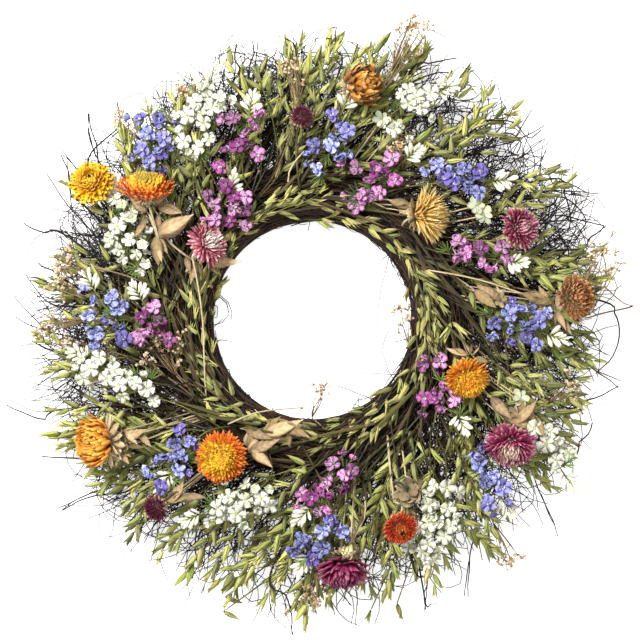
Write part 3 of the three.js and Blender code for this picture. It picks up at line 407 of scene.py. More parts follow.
@dataclass
class Form:
    """Points and faces of a small shape, and where each point lies on it.

    Attributes:
        points: places, one to a row.
        faces: point numbers, one tuple to a face.
        along: 0 at the base to 1 at the tip.
        across: -1 and 1 at the edges, 0 on the midline.
        part: 0 on the main petals, and up to 1 on the parts in the heart.
    """

    points: Array
    faces: list[tuple[int, ...]]
    along: Array
    across: Array
    part: Array

    @classmethod
    def wrapped(cls, rings: Array, along: Array, across: Array, ends: Sequence[Array]) -> "Form":
        """Closes a skin over rings of points, with a point at each end.

        Args:
            rings: ring, place on the ring, axis.
            along: one value to a ring.
            across: one value to a place on the ring.
            ends: the points before the first ring and after the last.
        """
        count, sides = rings.shape[:2]
        points = np.vstack([rings.reshape(-1, 3), *ends])
        first, last, top = count * sides, count * sides + 1, (count - 1) * sides
        pairs = [(i, (i + 1) % sides) for i in range(sides)]
        faces = [(k + i, k + i + sides, k + j + sides, k + j) for k in range(0, top, sides) for i, j in pairs]
        for i, j in pairs:
            faces += [(first, i, j), (last, top + j, top + i)]
        return cls(points, faces, np.append(np.repeat(along, sides), [0.0, 1.0]),
                   np.append(np.tile(across, count), [0.0, 0.0]), np.zeros(len(points)))

    @classmethod
    def blade(cls, outline: Callable[[Array], Array], width: float, rings: int = 5, cross: int = 3,
              thick: float = 0.03, camber: float = 0.2, curl: float = 0.0, hook: float = 0.0, notch: float = 0.0,
              ruffle: float = 0.0, seed: int = 0) -> "Form":
        """A petal, bract, glume or leaf.

        Args:
            outline: the half width at each share of the length, with a peak of about 1.
            width: the greatest half width.
            rings: rings of points between base and tip.
            cross: points from edge to edge.
            thick: thickness at the midline.
            camber: how far the edges stand above the midline, as a share of the half width.
            curl: how far the tip rises towards the upper face.
            hook: how sharply the last third bends further.
            notch: how deep the tip is cut in at the midline.
            ruffle: waves along the edges.
            seed: the ruffle's phase.
        """
        t = ((np.arange(rings) + 0.6) / (rings + 0.15))[:, None]
        u = np.linspace(1, -1, cross)
        around = np.concatenate([u, u[-2:0:-1]])
        side = np.concatenate([np.ones(cross), -np.ones(cross - 2)])
        half = width * outline(t)
        body = 1 - around**2
        wave = ruffle * np.sin(9 * t + 2.1 * seed + around * 1.3) * np.abs(around) * t
        rise = curl * t ** 2 + hook * np.maximum(t - 0.6, 0) ** 2
        points = np.stack([
            around * half,
            t * (1 - 0.25 * abs(curl) * t) - notch * body * t ** 6,
            rise + camber * half * around**2 + 0.5 * thick * side * body * (1 - 0.5 * t) + wave,
        ], axis=-1)
        tip = np.array([0, 1 - 0.25 * abs(curl) - notch, curl + hook * 0.16])
        return cls.wrapped(points, t[:, 0], around, (np.zeros(3), tip))

    @classmethod
    def turned(cls, profile: Sequence[tuple[float, float]], sides: int = 5, bend: float = 0.0) -> "Form":
        """A bud, tube or bead turned about +Y, from pairs of share of the length and radius."""
        t, r = (np.array(column)[:, None] for column in zip(*profile[1:-1]))
        turn = np.arange(sides) * 2 * math.pi / sides
        points = np.stack([
            r * np.cos(turn), np.repeat(t, sides, 1), r * np.sin(turn) + bend * t ** 2], axis=-1)
        ends = [np.array([0, share, bend * share ** 2]) for share, _ in (profile[0], profile[-1])]
        return cls.wrapped(points, t[:, 0], np.cos(turn), ends)

    def placed(self, turns: Sequence[tuple[str, float]] = (), scale: float | tuple[float, float, float] = 1.0,
               move: tuple[float, float, float] = (0, 0, 0), part: float | None = None) -> "Form":
        """A copy that is scaled, then turned about the named axes in order (degrees), then moved."""
        sizes = (scale,) * 3 if isinstance(scale, (int, float)) else scale
        matrix = Matrix.Diagonal((*sizes, 1))
        for axis, degrees in turns:
            matrix = Matrix.Rotation(math.radians(degrees), 4, axis) @ matrix
        turn = np.array(matrix.to_3x3())
        return Form(self.points @ turn.T + np.array(move), self.faces, self.along, self.across,
                    self.part if part is None else np.full(len(self.points), part))

    @staticmethod
    def joined(forms: Sequence["Form"]) -> "Form":
        """Several forms as one."""
        faces: list[tuple[int, ...]] = []
        start = 0
        for form in forms:
            faces += [tuple(i + start for i in face) for face in form.faces]
            start += len(form.points)
        stack = [np.concatenate([getattr(f, key) for f in forms]) for key in ("points", "along", "across", "part")]
        return Form(stack[0], faces, *stack[1:])

    def made(self, name: str) -> Object:
        """A hidden Blender object of the form, for a tree to repeat."""
        mesh = bpy.data.meshes.new(name)
        mesh.from_pydata(self.points.tolist(), [], self.faces)
        shell = bmesh.new()
        shell.from_mesh(mesh)
        bmesh.ops.recalc_face_normals(shell, faces=shell.faces)
        shell.to_mesh(mesh)
        shell.free()
        for key in ("along", "across", "part"):
            mesh.attributes.new(key, "FLOAT", "POINT").data.foreach_set("value", getattr(self, key).astype(np.float32))
        shape = shown(name, mesh)
        shape.hide_render = True
        return shape


def lance(rise: float = 0.8, blunt: float = 0.9) -> Callable[[Array], Array]:
    """An outline that is pointed at both ends, widest before the middle where rise is below 1."""
    return lambda t: np.sin(math.pi * np.clip(t, 0, 1) ** rise) ** blunt


def rounded(neck: float = 0.7, end: float = 5.0) -> Callable[[Array], Array]:
    """An outline with a narrow base and a broad round end."""
    return lambda t: t**neck * np.sqrt(np.clip(1 - t**end, 0, 1)) * 1.12


class Shapes:
    def __init__(self) -> None:
        """Makes every shape."""
        built = (self.spikelet, self.floret, self.phlox, self.bud, self.fern, self.star, self.bead)
        makers = {maker.__name__: maker for maker in built}
        self.kits: dict[str, list[Object]] = {}
        for name in (*makers, *BLADES):
            maker = makers.get(name) or partial(self.blade, BLADES[name])
            self.kits[name] = [maker(k).made(f"{name}_{k}") for k in range(3)]

    def inputs(self, name: str) -> dict[str, Object]:
        """The shape inputs of a tree for one kit."""
        return dict(zip(SHAPE_INPUTS, self.kits[name]))

    def clear(self) -> None:
        """Removes the shapes once all has grown."""
        for shape in sum(self.kits.values(), []):
            bpy.data.objects.remove(shape)

    @staticmethod
    def blade(sizes: dict[str, Any], k: int) -> Form:
        """A plain blade, where sizes given in three are one for each variant."""
        return Form.blade(**{key: size[k] if isinstance(size, tuple) else size for key, size in sizes.items()}, seed=k)

    @staticmethod
    def spikelet(k: int) -> Form:
        """An oat's hanging spikelet: two boat-shaped glumes, a paler one between them, and an awn."""
        glume = Form.blade(lance(0.72, 0.8), (0.13, 0.14, 0.11)[k], rings=3, thick=0.05, camber=0.8, curl=0.06)
        gap = (3, 8, 14)[k]
        awn = Form.turned([(0, 0), (0.02, 0.012), (0.6, 0.008), (1, 0)], 3)
        return Form.joined([
            glume.placed([("Y", 62), ("Z", gap)], part=0.0),
            glume.placed([("Y", -70), ("Z", -gap)], 0.93, part=0.35),
            glume.placed([("Y", 10), ("Z", gap * 0.2)], (0.8, 0.84, 0.8), part=0.8),
            awn.placed([("Z", -3)], (1, 0.5, 1), (0, 0.62, 0), part=1.0),
        ])

    @staticmethod
    def floret(k: int) -> Form:
        """A larkspur floret about its centre: wavy petals in two rings, a little heart and a spur behind."""
        petals = []
        for i in range(5):
            wide = (1.0, 0.8, 1.1, 0.9, 1.04)[(i + 2 * k) % 5]
            reach = (1.0, 1.08, 0.9, 1.04, 0.94)[(2 * i + k) % 5]
            petal = Form.blade(rounded(0.5, 3.0), 0.57, rings=3, thick=0.04, camber=0.3, curl=0.22 - 0.1 * (i % 3),
                               hook=(0.8, -0.9, 0.2)[(i + k) % 3], notch=0.02, ruffle=0.2, seed=i + 5 * k)
            turns = petal_turns(i, 14, (8, 26, 54)[k] + (0, 14, -9, 6, -4)[i])
            petals.append(petal.placed(turns, (wide, reach, 1), (0, 0, 0.03 * (i % 2)), part=0.0))
        inner = Form.blade(rounded(0.6, 4), 0.42, rings=2, thick=0.06, camber=0.4, curl=0.2, ruffle=0.08)
        for i in range(3):
            turns = [("X", 46 + 9 * (i % 2)), ("Z", 30 + 120 * i + 8 * k)]
            petals.append(inner.placed(turns, 0.52 - 0.06 * i, (0, 0, 0.05), part=0.5 + 0.25 * i))
        spur = Form.turned([(0, 0.05), (0.05, 0.15), (0.5, 0.08), (1, 0.0)], 3, -0.25)
        return Form.joined([*petals, spur.placed([("X", 205)], part=0.2)])

    @staticmethod
    def phlox(k: int) -> Form:
        """A flat white floret about its centre: broad petals with a shallow notch, round a small eye."""
        petals = []
        for i in range(5):
            petal = Form.blade(rounded(0.5, 3.6), 0.57, rings=3, thick=0.05, camber=-0.14, curl=(0.04, -0.12, 0.2)[k],
                               hook=(-0.4, 0.5, 0.1)[(i + k) % 3], notch=0.08, ruffle=0.07, seed=i + 5 * k)
            turns = petal_turns(i, 12, (6, 20, 44)[k] + (0, 9, -6, 7, -4)[i])
            reach = (1.0, 1.06, 0.94, 1.02, 0.9)[i]
            petals.append(petal.placed(turns, (1.0, reach, 1), (0, 0, 0.02 * (i % 2)), part=0.0))
        eye = Form.turned([(-0.1, 0), (0.0, 0.12), (0.12, 0)], 4)
        return Form.joined([*petals, eye.placed([("X", 90)], 1.0, (0, 0, 0.06), part=1.0)])

    @staticmethod
    def bud(k: int) -> Form:
        """A long closed bud, narrow at its foot, with a slight bend."""
        fat = (0.165, 0.19, 0.14)[k]
        return Form.turned([(0, 0), (0.05, 0.03), (0.3, fat * 0.6), (0.66, fat), (0.9, fat * 0.6), (1, 0)], 6,
                           (0.08, -0.1, 0.16)[k])

    @staticmethod
    def fern(k: int) -> Form:
        """A finely cut green leaf: narrow lobes that fork from one stalk."""
        lobe = Form.blade(lance(0.8, 0.7), 0.055, rings=3, thick=0.03, camber=0.2, curl=0.12)
        lobes = [lobe.placed([], (0.6, 1, 1))]
        for i, turn in enumerate((-62, -38, -18, 20, 40, 60)):
            start = 0.14 + 0.05 * ((i + k) % 3)
            lobes.append(lobe.placed([("X", 8 * ((i + k) % 3)), ("Z", turn + 5 * k)], 0.86 - 0.05 * abs(i - 2.5),
                                     (0, start, 0), part=0.3 * (i % 2)))
        return Form.joined(lobes)

    @staticmethod
    def star(k: int) -> Form:
        """A tiny dried flower: round papery petals about a bead."""
        petal = Form.blade(rounded(0.5, 4), 0.5, rings=1, thick=0.1, camber=0.4, curl=0.3)
        petals = [petal.placed([("X", 22 + 16 * k + 9 * (i % 2)), ("Z", 72 * i)], (1, 0.9 + 0.1 * (i % 2), 1))
                  for i in range(5)]
        bead = Form.turned([(-0.3, 0), (0.1, 0.24), (0.5, 0)], 4)
        return Form.joined([*petals, bead.placed([("X", 90)], part=1.0)])

    @staticmethod
    def bead(k: int) -> Form:
        """A floret of the disc, as a small club."""
        return Form.turned([(0, 0), (0.1, 0.16), (0.7, (0.24, 0.28, 0.2)[k]), (1, 0)], 5)


def petal_turns(i: int, twist: float, cup: float) -> list[tuple[str, float]]:
    """The turns that set one of five petals: a twist to one side or the other, the cup, and its place round."""
    return [("Y", twist * (-1) ** i), ("X", cup), ("Z", 72 * i + (0, 7, -6, 4, -8)[i])]


# The plain blades: bracts of six kinds, leaf, grass, the scales behind a head and a broad soft petal.
BLADES: dict[str, dict[str, Any]] = {
    "horn": dict(outline=rounded(0.4, 7), width=(0.11, 0.125, 0.14), rings=6, thick=0.035, camber=0.7,
                 curl=(0.35, 0.45, 0.4), hook=(0.9, 1.2, 1.2)),
    "shell": dict(outline=rounded(0.5, 3), width=(0.29, 0.33, 0.26), thick=0.05, camber=0.5, curl=(0.4, 0.3, 0.3),
                  hook=(0.9, 0.7, 0.9), notch=-0.06, ruffle=0.05),
    "broad": dict(outline=rounded(0.55, 6), width=(0.19, 0.22, 0.21), thick=0.05, camber=0.16,
                  curl=(0.45, 0.25, 0.1), hook=(0.8, 0.7, 0.4), notch=-0.05, ruffle=0.05),
    "leaf": dict(outline=lance(0.74, 1.15), width=(0.17, 0.21, 0.15), rings=7, cross=5, thick=0.014,
                 camber=(0.34, -0.2, 0.46), curl=(0.16, -0.1, 0.26), hook=(0.5, -0.5, 0.9), ruffle=0.02),
    "grass": dict(outline=lance(0.55, 0.6), width=(0.02, 0.026, 0.016), rings=8, thick=0.006, camber=0.6,
                  curl=(0.1, -0.08, 0.16), ruffle=0.006),
    "needle": dict(outline=lance(0.6, 0.7), width=(0.058, 0.066, 0.074), rings=4, thick=0.04, camber=0.7,
                   curl=(0.32, 0.12, -0.08), hook=(0.7, 0.35, -0.3)),
    "spoon": dict(outline=rounded(0.6, 5), width=(0.2, 0.23, 0.24), thick=0.05, camber=0.55,
                  curl=(0.35, 0.16, -0.06), hook=(0.8, 0.6, -0.5), notch=0.04, ruffle=0.09),
    "paper": dict(outline=lance(0.85, 0.62), width=(0.12, 0.14, 0.15), thick=0.04, camber=0.6,
                  curl=(0.34, 0.14, -0.04), hook=(0.8, 0.4, -0.3)),
    "sepal": dict(outline=lance(0.9, 0.6), width=(0.2, 0.24, 0.18), rings=3, thick=0.05, camber=0.4, curl=0.2),
    "scrap": dict(outline=rounded(0.5, 3), width=(0.42, 0.36, 0.48), cross=5, camber=0.25, curl=0.15, ruffle=0.08),
}


# Finishes.


@dataclass(frozen=True)
class PetalFinish:
    """A dried petal, bract, glume or leaf, coloured from base to tip and from midline to edge.

    Attributes:
        name: the material's name.
        base: colour at the base.
        body: colour over the middle.
        tip: colour at the tip.
        heart: colour towards the heart of a head, and how far it reaches.
        edge: colour along the edges, and its strength.
        part: colour of the further parts of a compound shape, and its strength.
        drift: how far brightness varies from one repeat to the next.
        stripes: veins or fibres from edge to edge.
        vein: how strong they show.
        roughness: the shader's mean roughness.
        age: how strong the brown specks and faded patches are.
        sheen: the soft light at grazing angles.
        other: a second colour that some of the repeats lean to, and how far.
        pinnate: whether veins branch from a midrib, as in a leaf.
    """

    name: str
    base: str
    body: str
    tip: str
    heart: Tint = NO_TINT
    edge: Tint = NO_TINT
    part: Tint = NO_TINT
    drift: float = 0.25
    stripes: float = 14.0
    vein: float = 0.25
    roughness: float = 0.7
    age: float = 0.3
    sheen: float = 0.15
    other: Tint = NO_TINT
    pinnate: bool = False

    def material(self) -> Material:
        """Builds the material, whose colour, roughness and bump come from the petal's own attributes."""
        paint = Paint(self.name)
        along, across, tone, layer, part = map(paint.attribute, ("along", "across", "tone", "layer", "part"))
        off, place, away = tone - 0.5, paint.place(), across.apply("ABSOLUTE")
        tint = paint.out("ShaderNodeValToRGB", {0: along + off * 0.18}, stops=[
            (0.0, colour(self.base)), (0.38, colour(self.body)), (0.72, colour(self.body)), (1.0, colour(self.tip))])
        if self.other[1]:
            tint = paint.mix(((tone * 7.3) % 1.0 * 2.2 - 0.9).clamped() * self.other[1], tint, colour(self.other[0]))
        if self.heart[1]:
            tint = paint.mix(((self.heart[1] - layer) * 5.0 + 0.5 + off * 0.5).clamped(), tint, colour(self.heart[0]))
        if self.edge[1]:
            tint = paint.mix(away ** 3.0 * self.edge[1], tint, colour(self.edge[0]))
        if self.part[1]:
            tint = paint.mix(part * self.part[1], tint, colour(self.part[0]))
        speck, patch = paint.noise(place, 420.0, 3.0), paint.noise(place, 60.0, 2.0)
        if self.pinnate:
            rib = (1.0 - away * 7.0).apply("MAXIMUM", 0.0)
            fibre = (away * 5.0 - along * 34.0).apply("SINE") * 0.25 + 0.4 + rib * 0.6
        else:
            fibre = (across * self.stripes + along * 2.0).apply("SINE") * 0.5 + 0.5
        light = 1.0 + off * 2.0 * self.drift + (fibre - 0.5) * self.vein + (patch - 0.5) * self.age
        worn = (speck - 0.62).apply("MAXIMUM", 0.0) * 3.0 * self.age
        return paint.finished({
            "Base Color": paint.mix(worn, paint.scaled(tint, light), colour("#6B4A22")),
            "Roughness": self.roughness + (speck - 0.5) * 0.3, "Sheen Weight": self.sheen, "Specular IOR Level": 0.3,
            "Normal": paint.bump(fibre + speck * 0.6, 0.5, 0.3 * MM)})


@dataclass(frozen=True)
class BarkFinish:
    """A stem or twig: streaks and blotches along it, and a colour of its own towards the root.

    Attributes:
        name: the material's name.
        dark: the darker colour of the streaks.
        light: the lighter colour of the streaks.
        drift: how far stems differ from one another.
        grain: the scale of the streaks.
        roughness: the shader's mean roughness.
        root: a colour that the stem takes towards its root.
        root_reach: how much of its length that covers.
        wrapped: whether the streaks run round the ring.
    """

    name: str
    dark: str
    light: str
    drift: float = 0.4
    grain: float = 300.0
    roughness: float = 0.75
    root: str = "#FFFFFF"
    root_reach: float = 0.0
    wrapped: bool = False

    def material(self) -> Material:
        """Builds the material, with streaked colour and a fibrous bump."""
        paint = Paint(self.name)
        tone, place = paint.attribute("tone"), paint.place()
        if self.wrapped:
            split = paint.add("ShaderNodeSeparateXYZ", {0: place})
            x, y, z = (Value(paint, split.outputs[i]) for i in range(3))
            place = paint.combined((x * x + y * y) ** 0.5, y.apply("ARCTAN2", x) * 0.02, z)
        grain, blotch = paint.noise(place, self.grain, 4.0), paint.noise(place, self.grain / 8, 2.0)
        share = (grain - 0.5) * 1.4 + (blotch - 0.5) * 0.8 + 0.5 + (tone - 0.5) * 2.0 * self.drift
        tint = paint.mix(share, colour(self.dark), colour(self.light))
        if self.root_reach:
            near = (1.3 - paint.attribute("along") * (1.3 / self.root_reach)).clamped()
            tint = paint.mix(near * (0.5 + grain), tint, colour(self.root))
        return paint.finished({
            "Base Color": tint, "Roughness": self.roughness + (grain - 0.5) * 0.3, "Specular IOR Level": 0.25,
            "Normal": paint.bump(grain, 0.6, 0.4 * MM)})


@dataclass(frozen=True)
class WireFinish:
    """Florist's wire, dulled and a little rusty."""

    name: str
    bright: str = "#8A8D88"
    rust: str = "#5A4334"

    def material(self) -> Material:
        """Builds a metal whose rust patches are rougher and less metallic."""
        paint = Paint(self.name)
        patch = ((paint.noise(paint.place(), 160.0, 5.0) - 0.48) * 5.0).clamped()
        return paint.finished({
            "Base Color": paint.mix(patch, colour(self.bright), colour(self.rust)), "Metallic": 0.9 - patch * 0.7,
            "Roughness": 0.35 + patch * 0.45})


class Cabinet:
    """The finishes, each made into a material once."""

    def __init__(self) -> None:
        """Starts with no materials."""
        self.made: dict[str, Material] = {}

    def material(self, finish: PetalFinish | BarkFinish | WireFinish) -> Material:
        """The finish's material."""
        if finish.name not in self.made:
            self.made[finish.name] = finish.material()
        return self.made[finish.name]


OAT = PetalFinish("oat husk", "#5E6A1C", "#8C9834", "#C2B25E", edge=("#D8CE88", 0.75),
                  part=("#D2C688", 0.6), drift=0.5, stripes=9, vein=0.45, age=0.5, other=("#5A7C20", 0.8))
OAT_STRAW = PetalFinish("oat straw", "#6A6A28", "#9C9844", "#D0C07E", edge=("#DCD09A", 0.7), drift=0.45,
                        other=("#6E8630", 0.8))
GRASS = PetalFinish("dry grass", "#2A1F12", "#4E3E22", "#846E44", edge=("#66522E", 0.4), drift=0.5,
                    stripes=7, vein=0.3, other=("#52501F", 0.9))
TAN_LEAF = PetalFinish("tan leaf", "#806846", "#BFA279", "#CDB48C", edge=("#8A6E48", 0.5), drift=0.3,
                       vein=0.45, age=0.7, other=("#8E7A50", 0.95), pinnate=True)
WHORL_LEAF = PetalFinish("whorl leaf", "#6A5C42", "#A08F6C", "#BCAA82", edge=("#75654A", 0.6), drift=0.4,
                         vein=0.5, age=0.6, other=("#8C7C58", 0.8), pinnate=True)
FERN = PetalFinish("fern green", "#46601E", "#6A8434", "#98A654", drift=0.4, stripes=5, vein=0.15,
                   other=("#48682A", 0.6))
GREY_PETAL = PetalFinish("grey green petal", "#A3AC86", "#BAC2A4", "#C2AE88", edge=("#94916C", 0.5), drift=0.3)
WHITE_BUD = PetalFinish("cream bud", "#B4C088", "#E6E3D0", "#EEEBDC", drift=0.08, vein=0.1, age=0.1)
TAN_STAR = PetalFinish("tan spray flower", "#C9A878", "#EBD6B0", "#F6E9CC", part=("#B98C58", 0.7), drift=0.3,
                       other=("#D0A270", 0.7))
TAN_SCALE = PetalFinish("tan scale", "#A8926A", "#CFB98C", "#E0CFA4", drift=0.25, age=0.5)
STEM_GREEN = BarkFinish("green stem", "#464C20", "#9C9650", root="#21160F", root_reach=0.6)
STEM_CREAM = BarkFinish("cream stem", "#A8946C", "#DDCDA8", drift=0.2)
STEM_RUSSET = BarkFinish("russet stem", "#5E4A34", "#A38C68", root="#2A1C14", root_reach=0.3)
TWIG = BarkFinish("black brown twig", "#140E10", "#423436", drift=0.5)
# Painted shade: the thicket's stems run from near black to dark brown, darkened to stand for the shade among the
# wreath's inner stems.
THICKET_IN_PAINTED_SHADE = BarkFinish("thicket stem", "#0C0705", "#54392A", drift=1.0)
# Painted shade: the strands over the bundle run from near black to dark brown, darkened to stand for the shade round
# the bundle.
STRAND_IN_PAINTED_SHADE = BarkFinish("bundle strand", "#0C0705", "#4C3523", drift=0.95)
STEM_OLIVE = BarkFinish("olive stem", "#3A2E1C", "#84744A", root="#1A110B", root_reach=0.6)
CLOSED_SCALE = PetalFinish("closed bud scale", "#9A8A4A", "#C6B678", "#E6D8AC", drift=0.2, age=0.4)
# Painted shade: the ring's bark runs from near black to dark brown, darkened to stand for the shade on the bundle under
# the foliage.
BUNDLE_IN_PAINTED_SHADE = BarkFinish("bundle bark", "#060403", "#3C281A", grain=420, wrapped=True)
WIRE = WireFinish("florist wire")


class Bracts(Enum):
    """The kinds of bract that a strawflower may have."""

    NEEDLE = "needle"
    SPOON = "spoon"
    PAPER = "paper"
    HORN = "horn"
    SHELL = "shell"
    BROAD = "broad"


@dataclass(frozen=True)
class BloomForm:
    """The build of a head. Lengths and heights are shares of its radius, and tilts are degrees from its axis.

    Attributes:
        base: how far out the outermost bracts stand.
        height: how high the innermost stand.
        low: how high the outermost stand.
        inner_tilt: the tilt in the heart.
        outer_tilt: the tilt at the rim.
        inner_length: bract length in the heart.
        outer_length: bract length at the rim.
        disc_height: how high the disc lies.
        calyx: length of the scales behind the head.
    """

    base: float = 0.44
    height: float = 0.3
    low: float = 0.0
    inner_tilt: float = 14.0
    outer_tilt: float = 92.0
    inner_length: float = 0.34
    outer_length: float = 0.62
    disc_height: float = 0.1
    calyx: float = 0.56

    def inputs(self) -> dict[str, float]:
        """The build as inputs of the bloom tree."""
        return {"base": self.base, "height": self.height, "low": self.low, "inner_length": self.inner_length,
                "outer_length": self.outer_length, "inner_tilt": math.radians(self.inner_tilt),
                "outer_tilt": math.radians(self.outer_tilt)}


OPEN = BloomForm()
DENSE = BloomForm(0.44, 0.26, -0.06, 10.0, 88.0, 0.36, 0.6, 0.08)
ROUND = BloomForm(0.42, 0.15, -0.15, 6.0, 86.0, 0.5, 0.72, 0.0, 0.5)
BOWL = BloomForm(0.74, 0.05, -0.25, 0.0, 58.0, 0.4, 0.6, 0.22, 0.3)
TUFT = BloomForm(0.58, 0.34, -0.16, 6.0, 84.0, 0.34, 0.46, 0.14)
BARREL = BloomForm(0.52, 0.25, -0.55, 0.0, 52.0, 0.62, 0.95, 0.2, 0.4)
SWEEP = BloomForm(0.42, 0.0, -0.45, 2.0, 54.0, 0.64, 1.02, 0.1, 0.5)
FAN = BloomForm(0.52, 0.1, -0.3, 6.0, 76.0, 0.5, 0.74, 0.16, 0.95)
SPREAD = BloomForm(0.54, 0.34, -0.14, 16.0, 86.0, 0.38, 0.52, 0.1)
CLOSED = BloomForm(0.5, 0.35, -0.5, 0.0, 20.0, 0.4, 1.0, 0.0)


@dataclass(frozen=True)
class BloomLook:
    """How one strawflower differs from the next.

    Attributes:
        slot: the record's material slot.
        bracts: the kind of bract.
        finish: the bracts' finish.
        disc: the colour of the disc, at its heart and rim.
        count: how many bracts.
        disc_share: the disc's radius as a share of the head's.
        form: the head's build.
    """

    slot: str
    bracts: Bracts
    finish: PetalFinish
    disc: tuple[str, str] = ("#7A5A1E", "#D8A21C")
    count: int = 150
    disc_share: float = 0.2
    form: BloomForm = OPEN


def bloom_finish(name: str, base: str, body: str, tip: str, heart: str, reach: float, **more: Any) -> PetalFinish:
    """A strawflower's finish: glossy, streaked bracts with a heart of another colour."""
    return PetalFinish(f"bract {name}", base, body, tip, (heart, reach), roughness=0.42, drift=0.22, vein=0.3,
                       age=0.12, sheen=0.05, **more)


BLOOM_LOOKS: dict[str, BloomLook] = {
    "yellow_northwest": BloomLook("bracts_gold", Bracts.SPOON, bloom_finish(
        "golden yellow", "#C87C06", "#F0B010", "#FFD440", "#E3A00E", 0.12), ("#4A2E0C", "#A86E12"), 170, 0.1),
    "orange_northwest": BloomLook("bracts_orange", Bracts.BROAD, bloom_finish(
        "bright orange", "#9A3408", "#D65C14", "#EC9030", "#F0A420", 0.56), ("#A88C1C", "#EDB41E"), 130, 0.46, BOWL),
    "pink_west": BloomLook("bracts_pink", Bracts.PAPER, bloom_finish(
        "rose", "#A81C40", "#E08496", "#FAE2DC", "#FEF0E6", 0.42, edge=("#B01E42", 0.55), other=("#B82C50", 0.6)),
        ("#D8A8A0", "#F2D8CC"), 200, 0.06, ROUND),
    "orange_north": BloomLook("bracts_amber", Bracts.SHELL, bloom_finish(
        "ochre", "#7A4414", "#BE7A2A", "#E2AC5C", "#C28228", 0.3, other=("#8E581E", 0.8)),
        ("#5C3A14", "#D8901C"), 84, 0.12, BARREL),
    "amber_northeast": BloomLook("bracts_amber", Bracts.NEEDLE, bloom_finish(
        "amber", "#F0AC48", "#FFD87A", "#FFF0BC", "#FFD87A", 0.4, other=("#F6BE5C", 0.7)),
        ("#8C6418", "#D8A030"), 280, 0.14, SWEEP),
    "mauve_east": BloomLook("bracts_magenta", Bracts.PAPER, bloom_finish(
        "dusty mauve", "#6E1432", "#B04468", "#EAB8BC", "#DCA0AC", 0.34, edge=("#7A1638", 0.6)),
        ("#A05A66", "#D098A0"), 170, 0.06, ROUND),
    "rust_east": BloomLook("bracts_rust", Bracts.BROAD, bloom_finish(
        "rust", "#7E4A22", "#C4824A", "#E8B882", "#B0723C", 0.25, edge=("#965628", 0.5), other=("#A26A38", 0.8)),
        ("#6A4020", "#B87A40"), 210, 0.04, SPREAD),
    "orange_east": BloomLook("bracts_orange", Bracts.PAPER, bloom_finish(
        "marigold", "#B8460A", "#EE861C", "#FFBE3C", "#FDC436", 0.66), ("#E89A14", "#F6BC2C"), 260, 0.34, TUFT),
    "magenta_southeast": BloomLook("bracts_magenta", Bracts.PAPER, bloom_finish(
        "magenta", "#761440", "#B23C6A", "#E496AE", "#EED0BE", 0.4, edge=("#8A1E4C", 0.5)),
        ("#C89A84", "#E6C8B4"), 220, 0.1, ROUND),
    "orange_west": BloomLook("bracts_orange", Bracts.HORN, bloom_finish(
        "yellow orange", "#C06414", "#F09C2C", "#FFC850", "#F6B038", 0.35, other=("#D8741C", 0.6)),
        ("#A87818", "#E0A828"), 250, 0.16, FAN),
    "gold_southwest": BloomLook("bracts_gold", Bracts.PAPER, bloom_finish(
        "gold and flame", "#C8400C", "#E46818", "#F48C28", "#F8C22A", 0.64), ("#E4A618", "#F8CC3C"), 280, 0.3, TUFT),
    "red_south": BloomLook("bracts_red", Bracts.PAPER, bloom_finish(
        "scarlet orange", "#A82408", "#DC441C", "#F27040", "#E87A28", 0.34), ("#3C140A", "#C85A1C"), 260, 0.14, TUFT),
    "crimson_south": BloomLook("bracts_crimson", Bracts.PAPER, bloom_finish(
        "crimson", "#5E1030", "#922C54", "#BA6286", "#C08098", 0.3), ("#5C1A34", "#A86A50"), 170, 0.1, SWEEP),
    "crimson_southwest": BloomLook("bracts_crimson", Bracts.PAPER, bloom_finish(
        "deep crimson", "#400820", "#661430", "#863054", "#501028", 0.3), ("#3C0E20", "#7C2A44"), 130, 0.1, DENSE),
    "crimson_north": BloomLook("bracts_crimson", Bracts.PAPER, bloom_finish(
        "plum", "#42101F", "#5E1E30", "#88485E", "#4C1428", 0.3), ("#4C1A28", "#8C4A50"), 110, 0.12, DENSE),
}

LARKSPUR_FINISHES: dict[str, PetalFinish] = {
    "blue": PetalFinish("larkspur blue", "#6A62B0", "#999EDA", "#C2C6EE", edge=("#767CC4", 0.55),
                        part=("#E6E6F4", 0.85), drift=0.38, stripes=9, vein=0.45, age=0.25, other=("#6A54A6", 0.9)),
    "pink": PetalFinish("larkspur pink", "#F8E8F2", "#DE9ECC", "#BC6AAA", edge=("#9A4088", 0.7),
                        part=("#F6E6F0", 0.8), drift=0.38, stripes=9, vein=0.5, age=0.25, other=("#8C2E7A", 0.95)),
    "white": PetalFinish("larkspur white", "#C6CE9C", "#E2E0D0", "#E9E7DA", edge=("#D4D4BC", 0.45),
                         part=("#C0C97E", 0.8), drift=0.14, stripes=9, vein=0.18, age=0.2, other=("#D8DEBE", 0.9)),
}


